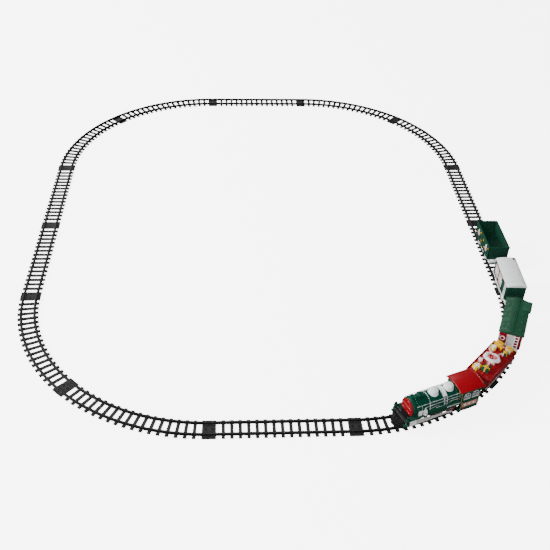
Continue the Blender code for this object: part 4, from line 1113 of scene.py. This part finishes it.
def coach_roof(car):
    """Gable roof: battens and panels on the inner slope, ridge strips, and a raised block."""
    eave, shoulder, ridge, half = 56.3, 57.9, 63.5, 23.5
    outline = [(-half, eave), (half, eave), (half, shoulder), (2, ridge), (-2, ridge), (-half, shoulder)]
    roof = Shape().prism(outline, -53.5, 53.5, "X", 0.4)
    slope = math.degrees(math.atan2(ridge - shoulder, half - 2))
    run = (half - 2) / math.cos(math.radians(slope))
    inner = turned_about((0, -half, shoulder), slope, "X")
    outer = turned_about((0, half, shoulder), -slope, "X")

    def raised(x0, x1, low, high, height, matrix, sign):
        roof.box((x0, sign * (half - low), shoulder - 0.4), (x1, sign * (half - high), shoulder + height),
                 0.25, matrix)

    for x in (-51.8, -39, -24, -6, 9, 26, 40, 51.8):
        raised(x - 0.8, x + 0.8, 0.4, run - 2, 1.3, inner, -1)
    panels = ((-50, -41, 3, 17), (-37, -26, 3, 11), (-37, -26, 13, 18), (-22, -8, 4, 16), (-4, 7, 2.5, 9),
              (-4, 7, 11, 18), (11, 24, 3, 17), (28, 38, 3, 10), (28, 38, 12, 18), (42, 50, 4, 16))
    for x0, x1, low, high in panels:
        raised(x0, x1, low, high, 0.9, inner, -1)
        raised(x0 + 1.6, x1 - 1.6, low + 1.4, high - 1.4, 1.4, inner, -1)
    raised(-52.5, 52.5, run - 3.4, run - 2.2, 0.9, inner, -1)
    for x in (-51.8, 51.8):
        raised(x - 0.8, x + 0.8, 0.4, run - 1, 0.6, outer, 1)
    for x in (-8, 12, 32):
        raised(x - 0.3, x + 0.3, 1, run - 1, 0.2, outer, 1)
    roof.box((-53.3, -1.9, ridge - 0.6), (53.3, -0.7, ridge + 0.9), 0.3)
    roof.box((-53.3, 0.7, ridge - 0.6), (53.3, 1.9, ridge + 0.9), 0.3)
    for side in (LEFT, RIGHT):
        roof.on(side)
        roof.slab(-53.4, 53.4, eave - 0.4, eave + 1.0, 22.6, 23.6, 0.3)
    roof.box((-50, 9, 57), (-20, 26, 62.4), 0.7, steps=2)
    roof.box((-47.5, 11.5, 62.0), (-22.5, 23.5, 63.0), 0.4)
    for k in range(5):
        roof.box((-46 + 5 * k, 25.6, 58.4), (-43.6 + 5 * k, 26.3, 61.4), 0.2)
    for x in (-10, 14, 38):
        roof.lathe([(0, 57), (2.6, 57), (2.6, 60.6), (1.9, 61.4), (0, 61.6)], (x, 14, 0), sides=20)
    car.add("coach_roof_battened", roof, ROOF_GREEN, "coach_roof")


def coach_side(name, side, car):
    """Arched window frames, planks and mouldings."""
    face = side * COACH_HALF
    frames = Shape().on(side, COACH_HALF)
    for x in (-36, -18, 0, 18, 36):
        frames.frame(arch(x - 6.9, x + 6.9, 37.1, 45), arch(x - 5.8, x + 5.8, 38.2, 45), face - side * 1.2,
                     face + side * 0.5, "Y", 0.15)
        frames.slab(x - 0.4, x + 0.4, 38, 50.8, -1, 0.1, 0.1)
        frames.slab(x - 6, x + 6, 43.6, 44.3, -1, 0.1, 0.1)
    frames.slab(-51.6, 51.6, 34.2, 35.2, -0.3, 0.45, 0.2)
    frames.slab(-51.6, 51.6, 25.2, 26.2, -0.3, 0.45, 0.2)
    car.add(f"coach_window_frames_{name}", frames, GOLD)
    boards = Shape().on(side, COACH_HALF)
    for k in range(25):
        x = -50 + 100 * k / 24
        boards.slab(x - 1.75, x + 1.75, 26.6, 33.8, -0.3, 0.25, 0.15)
    boards.slab(-52, 52, 53.2, 54.6, -0.3, 0.5, 0.2)
    boards.rivets([(x, face, 52) for x in range(-48, 49, 6)], 0.45, 0.35, side=side)
    car.add(f"coach_side_boards_{name}", boards, DEEP_RED)


def coach_end(name, end, car):
    """A door, a ladder, a handrail and a wreath on an end wall, over a step."""
    flip = Matrix.Diagonal((end, end, 1, 1))
    door = Shape().box((51.8, -6.6, 25.4), (52.6, 7.0, 54.4), 0.3, flip)
    door.frame(*border(-5.6, 39, 6, 52.6, 1.2), 52.4, 53.1, "X", 0.15, flip)
    door.frame(*border(-5.6, 26.6, 6, 37.4, 1.2), 52.4, 53.0, "X", 0.15, flip)
    door.ball((53.2, 4.8, 38.2), (0.9, 0.7, 0.7), 6, flip)
    car.add(f"coach_door_{name}", door, GREY)
    ladder = Shape()
    end_ladder(ladder, 53.4, 11.4, 25.2, 54.6, 3.6)
    for y in (8.2, 14.6):
        for z in (27, 52.6):
            ladder.tube([(51.5, y, z), (53.4, y, z)], 0.5, 6)
    ladder.tube([(52.6, -19.6, 28), (53.4, -19.6, 30), (53.4, -19.6, 48), (52.6, -19.6, 50)], 0.5, 6)
    ladder.bend(lambda co: Vector((co.x * end, co.y * end, co.z)))
    car.add(f"coach_ladder_{name}", ladder, WHITE)
    for part, first, colour in (("white", 0, WHITE), ("pink", 1, PINK)):
        wreath = Shape()
        for k in range(first, 18, 2):
            t = math.tau * k / 18
            wreath.ball((52.7, -13.6 + 4.0 * math.cos(t), 43 + 4.0 * math.sin(t)), (1.0, 1.15, 1.15), 6, flip)
        car.add(f"coach_wreath_{part}_{name}", wreath, colour)
    sill = Shape().box((51.8, -20.6, 24.4), (53.2, 20.6, 25.6), 0.3, flip)
    car.add(f"coach_end_step_{name}", sill, FRAME)


def coach_seats(car):
    seats = Shape()
    for x in (-43, -29, -15, -1, 13, 27, 41):
        for y in (-11, 11):
            seats.box((x - 4.4, y - 7, 31), (x + 4.4, y + 7, 34), 0.8)
            seats.box((x - 1.2, y - 7, 33), (x + 1.2, y + 7, 42), 0.8)
            seats.box((x - 3, y - 6, 24.6), (x + 3, y + 6, 31.2), 0.4)
    seats.box((-49.8, -19, 24.4), (49.8, 19, 25.4), 0.2)
    car.add("coach_seats", seats, CREAM)


def coach():
    car = wagon("coach", "coach", WAGON_FRAME, WHITE)
    keep("coach_body", DEEP_RED, 0.35)
    for name, side in TRACK_SIDES:
        coach_side(name, side, car)
    for name, end in (("front", 1), ("rear", -1)):
        coach_end(name, end, car)
    coach_seats(car)
    coach_roof(car)


# ---------------------------------------------------------------- box car

def boxcar_boards(car):
    """Planks and borders on the sides, boards and posts on the ends."""
    planks = Shape()
    for side in (LEFT, RIGHT):
        planks.on(side, BOXCAR_HALF)
        face = side * BOXCAR_HALF
        for k in range(9):
            x = 15.9 + 2.6 * k + 1.0
            if x < 42:
                planks.slab(x - 1.1, x + 1.1, 26.8, 54.4, -0.3, 0.5, 0.2)
        planks.slab(-46, 46, 55, 56.8, -0.3, 0.9, 0.3)
        planks.slab(-46, 46, 24.6, 26, -0.3, 0.9, 0.3)
        planks.frame(*border(-42.6, 26.8, 11.6, 54.2, 1.4), face - side * 0.2, face + side * 0.8, "Y", 0.2)
        planks.rivets([(x, face + side * 0.9, 55.9) for x in range(-44, 45, 4)], 0.45, 0.35, side=side)
    for end in (-1, 1):
        for z in (31, 38, 45, 52):
            planks.box((end * 45.8, -18, z - 1.1), (end * 46.7, 18, z + 1.1), 0.35)
        for y in (-17.6, 17.6):
            planks.box((end * 45.8, y - 1.2, 25), (end * 46.9, y + 1.2, 56.6), 0.3)
        planks.rivets([(end * 46.9, y, z) for y in (-17.6, 17.6) for z in range(28, 56, 4)], 0.45, 0.35, "X",
                      end)
    car.add("boxcar_boards", planks, DEEP_GREEN)


def boxcar_label(name, side, car):
    """A striped panel with three six-armed ornaments."""
    face = side * BOXCAR_HALF
    label = Shape().on(side, BOXCAR_HALF).slab(-41.2, 10.2, 28.2, 52.8, -0.1, 0.3, 0.08)
    car.add(f"boxcar_label_{name}", label, LABEL_PALE)
    ornament = Shape().on(side, BOXCAR_HALF)
    for x, z, size in ((-31, 40.5, 7.2), (-15.5, 40.5, 8.2), (0.5, 40.5, 7.2)):
        for k in range(6):
            ornament.slab(x - size, x, z - 0.45, z + 0.45, 0, 0.6, 0.1,
                         turned_about((x, face, z), 60 * k, "Y"))
            ornament.slab(x - size * 0.72, x - size * 0.6, z - size * 0.2, z + size * 0.2, 0, 0.6, 0.1,
                          turned_about((x, face, z), 60 * k, "Y"))
        ornament.lathe([(0, 18.9), (size * 0.22, 18.9), (size * 0.22, 19.7), (0, 19.7)], (x, 0, z), "Y", 6,
                       MIRROR[side])
    car.add(f"boxcar_snowflakes_{name}", ornament, WHITE)


def boxcar_ladder(name, side, car):
    """The ladder near the front end, and the handrail beside the planks."""
    face = side * BOXCAR_HALF
    ladder = Shape()
    for x in (33, 41):
        ladder.tube([(x, face + side * 1.4, 25), (x, face + side * 1.4, 56.4)], 0.7, 8)
        for z in (26.4, 55):
            ladder.tube([(x, face, z), (x, face + side * 1.4, z)], 0.5, 6)
    for k in range(8):
        z = 27 + 27.6 * k / 7
        ladder.tube([(33, face + side * 1.4, z), (41, face + side * 1.4, z)], 0.55, 8)
    ladder.tube([(13.4, face + side * 0.4, 30), (13.4, face + side * 1.6, 31.5),
                 (13.4, face + side * 1.6, 47), (13.4, face + side * 0.4, 48.5)], 0.6, 8)
    car.add(f"boxcar_ladder_{name}", ladder, WHITE)


def brake_wheel(car):
    """A spoked hand wheel on the rear end."""
    wheel = Shape()
    rim = [(-48.1, -9 + 4.2 * math.cos(t), 48 + 4.2 * math.sin(t))
           for t in (math.tau * k / 24 for k in range(24))]
    wheel.tube(rim, 0.5, 8, loop=True)
    for k in range(3):
        wheel.tube([(-48.1, -9 + 4.2 * math.cos(t), 48 + 4.2 * math.sin(t))
                    for t in (math.pi * k / 3, math.pi * (k / 3 + 1))], 0.4, 6)
    wheel.lathe([(0, -48.7), (1, -48.7), (1, -46.4), (0, -46.4)], (0, -9, 48), "X", 12)
    car.add("boxcar_brake_wheel", wheel, FRAME)


def boxcar_roof(car):
    """White arched roof with cross seams, two long strips near the outer eave and a vent."""
    outer = roof_arch(20.8, 57.3, 62, 1.6)[0]
    roof = Shape().prism(outer + [(20.6, 57.3), (-20.6, 57.3)][::-1], -47.5, 47.5, "X", 0.4)
    for x in (-46.9, -34, -11.5, 11.5, 34, 46.9):
        seam = [(y, z + 0.45) for y, z in outer] + [(y, z - 0.8) for y, z in reversed(outer)]
        roof.prism(seam, x - 0.45, x + 0.45, "X", 0.2)
    car.add("boxcar_roof_arched", roof, WHITE, "boxcar_roof")
    lines = Shape()
    ordered = sorted(outer)
    for y in (12.6, 16.2):
        z = next(b for a, b in ordered if a >= y) + 0.35
        lines.box((-41, y - 0.35, z - 0.8), (40, y + 0.35, z + 0.5), 0.15)
    seam = [(y, z + 0.85) for y, z in outer[1:-1]] + [(y, z - 0.8) for y, z in reversed(outer[1:-1])]
    lines.prism(seam, 33.7, 34.3, "X", 0.1)
    car.add("boxcar_roof_lines", lines, GREY)
    vent = Shape().box((-46.5, 12.4, 59.4), (-41.5, 17.4, 62.2), 0.5)
    vent.box((-45.8, 13.2, 61.8), (-42.2, 16.6, 62.8), 0.3)
    car.add("boxcar_roof_vent", vent, FRAME)


def box_car():
    car = wagon("boxcar", "box_car", WAGON_FRAME, WHITE)
    keep("boxcar_body", DEEP_GREEN, 0.3)
    boxcar_boards(car)
    for name, side in TRACK_SIDES:
        boxcar_label(name, side, car)
        boxcar_ladder(name, side, car)
    brake_wheel(car)
    boxcar_roof(car)


# ---------------------------------------------------------------- gondola

def gondola_body(car):
    """Open box with ribs and raised panels outside and in, under a thick rim."""
    half_x, half_y, wall, floor, top = 50, 21.5, 1.6, 26.3, 55
    body = Shape().box((-half_x, -half_y, 24.3), (half_x, half_y, floor), 0.4)
    for side in (LEFT, RIGHT):
        outer, inner = side * half_y, side * (half_y - wall)
        body.box((-half_x, inner, 24.4), (half_x, outer, top), 0.3)
        for x in range(-48, 49, 12):
            body.box((x - 1.1, outer - side * 0.4, 25), (x + 1.1, outer + side * 0.7, 53), 0.3)
            body.box((x - 1.1, inner + side * 0.4, 26), (x + 1.1, inner - side * 0.6, 53), 0.3)
        for x in range(-42, 43, 12):
            for face, out in ((outer, side), (inner, -side)):
                panel = border(x - 4.2, 28.4, x + 4.2, 50.6, 0.9)
                body.frame(*panel, face - out * 0.3, face + out * 0.45, "Y", 0.15)
                body.prism([(x, 43.6), (x + 2.4, 39.5), (x, 35.4), (x - 2.4, 39.5)], face - out * 0.3,
                           face + out * 0.6, "Y", 0.15)
        body.box((-half_x - 0.4, outer - side * 0.4, 24.6), (half_x + 0.4, outer + side * 0.8, 26.8), 0.3)
        body.box((-51, side * 19.9, 52.8), (51, side * 22.5, 55.4), 0.5, steps=2)
    for end in (-1, 1):
        outer, inner = end * half_x, end * (half_x - wall)
        body.box((inner, -half_y, 24.4), (outer, half_y, top), 0.3)
        body.box((end * 48.4, -22.4, 52.8), (end * 51, 22.4, 55.4), 0.5, steps=2)
        for face, out in ((outer, end), (inner, -end)):
            panels = [border(-18.5, 28, 18.5, 51, 1.5)] + [border(y - 6, 32, y + 6, 47, 1.1) for y in (-9, 9)]
            for panel in panels:
                body.frame(*panel, face - out * 0.3, face + out * 0.7, "X", 0.2)
            body.box((face - out * 0.3, -0.9, 29), (face + out * 0.6, 0.9, 50), 0.2)
    for x in range(-42, 43, 6):
        body.box((x - 0.35, -19.4, floor - 0.2), (x + 0.35, 19.4, floor + 0.3), 0.1)
    car.add("gondola_body_ribbed", body, DEEP_GREEN, "gondola_body")


def gondola_emblems(car):
    """Small raised parcels and stars on both sides."""
    for name, side in TRACK_SIDES:
        face = side * EMBLEM_FACE
        gift = Shape().on(side, EMBLEM_FACE).slab(24, 36, 34, 44, 0, 1.1, 0.4)
        gift.slab(-34, -22, 34, 44, 0, 1.1, 0.4)
        car.add(f"gondola_emblem_parcels_{name}", gift, PINK)
        ribbon = Shape().on(side, EMBLEM_FACE)
        for x in (-28, 30):
            ribbon.slab(x - 1.1, x + 1.1, 33.8, 44.2, 0, 1.4, 0.2)
            ribbon.slab(x - 6.2, x + 6.2, 38, 40, 0, 1.4, 0.2)
            for turn in (-35, 35):
                ribbon.ball((x + turn / 14, face + side * 0.6, 46), (2.4, 0.8, 1.4), 6,
                            turned_about((x + turn / 14, face, 46), turn, "Y"))
        car.add(f"gondola_emblem_ribbons_{name}", ribbon, WHITE)
        stars = Shape()
        for x, z, size in ((-16, 47, 2.6), (-7, 33, 2.2), (8, 45, 2.6), (17, 34, 2.2), (42, 47, 2.2),
                           (-42, 33, 2.2)):
            stars.prism(star((x, z), size, size * 0.45), face + side * 0.2, face + side * 1.2, "Y", 0.05)
        car.add(f"gondola_emblem_stars_{name}", stars, YELLOW)


def gondola():
    car = wagon("gondola", "gondola", WAGON_FRAME, WHITE)
    gondola_body(car)
    gondola_emblems(car)


# ---------------------------------------------------------------- studio

FLOOR_REACH = 40.0
FLOOR_GLOW, SKY_GLOW = 5.5, 0.15
# name, place in metres, width in metres, power in watts; all aim at the middle of the track
LAMPS = (("key", (-3.0, 0.0, 2.05), 1.6, 230), ("fill", (-0.5, -2.7, 1.7), 1.8, 66),
         ("back", (-0.4, 2.6, 2.2), 1.6, 40))
CAMERA_PLACE = (-0.0961, -1.5515, 1.0735)
CAMERA_YAW, CAMERA_PITCH, CAMERA_ROLL = 4.43, 38.09, 2.21
CAMERA_LENS = 54.09


def studio():
    """A plain pale floor, soft area lamps and a dim sky."""
    world = bpy.data.worlds.new("studio")
    bpy.context.scene.world = world
    world.use_nodes = True
    sky = world.node_tree.nodes["Background"]
    sky.inputs["Color"].default_value = (1.0, 1.0, 1.0, 1)
    sky.inputs["Strength"].default_value = SKY_GLOW
    mesh = bpy.data.meshes.new("studio_floor")
    corners = [(x * FLOOR_REACH, y * FLOOR_REACH, 0) for x, y in ((-1, -1), (1, -1), (1, 1), (-1, 1))]
    mesh.from_pydata(corners, [], [(0, 1, 2, 3)])
    floor = bpy.data.objects.new("studio_floor", mesh)
    floor.location.z = -0.0002
    floor.visible_diffuse = False
    floor.visible_glossy = False
    bpy.context.scene.collection.objects.link(floor)
    material = bpy.data.materials.new("studio_white")
    material.use_nodes = True
    shader = material.node_tree.nodes["Principled BSDF"]
    shader.inputs["Base Color"].default_value = (0.93, 0.93, 0.93, 1)
    shader.inputs["Roughness"].default_value = 0.6
    shader.inputs["Emission Color"].default_value = (1.0, 1.0, 1.0, 1)
    shader.inputs["Emission Strength"].default_value = FLOOR_GLOW
    mesh.materials.append(material)
    for name, at, size, power in LAMPS:
        lamp = bpy.data.lights.new(name, "AREA")
        lamp.energy = power
        lamp.size = size
        obj = bpy.data.objects.new(name, lamp)
        bpy.context.scene.collection.objects.link(obj)
        obj.location = at
        obj.rotation_mode = "QUATERNION"
        obj.rotation_quaternion = (-Vector(at)).to_track_quat("-Z", "Y")


def camera():
    """A camera at the height of a person kneeling in front of the track."""
    data = bpy.data.cameras.new("camera")
    data.lens = CAMERA_LENS
    data.sensor_width = 36
    yaw, pitch, roll = map(math.radians, (CAMERA_YAW, CAMERA_PITCH, CAMERA_ROLL))
    ahead = Vector((math.sin(yaw) * math.cos(pitch), math.cos(yaw) * math.cos(pitch), -math.sin(pitch)))
    level = Vector((math.cos(yaw), -math.sin(yaw), 0))
    above = level.cross(ahead)
    right = level * math.cos(roll) + above * math.sin(roll)
    up = above * math.cos(roll) - level * math.sin(roll)
    obj = bpy.data.objects.new("camera", data)
    bpy.context.scene.collection.objects.link(obj)
    turn = Matrix((right, up, -ahead)).transposed().to_4x4()
    obj.matrix_world = Matrix.Translation(CAMERA_PLACE) @ turn
    bpy.context.scene.camera = obj


for node in sorted(frame["nodes"]):
    if node.startswith("track_"):
        track_section(node)
locomotive()
tender()
coach()
box_car()
gondola()
studio()
camera()
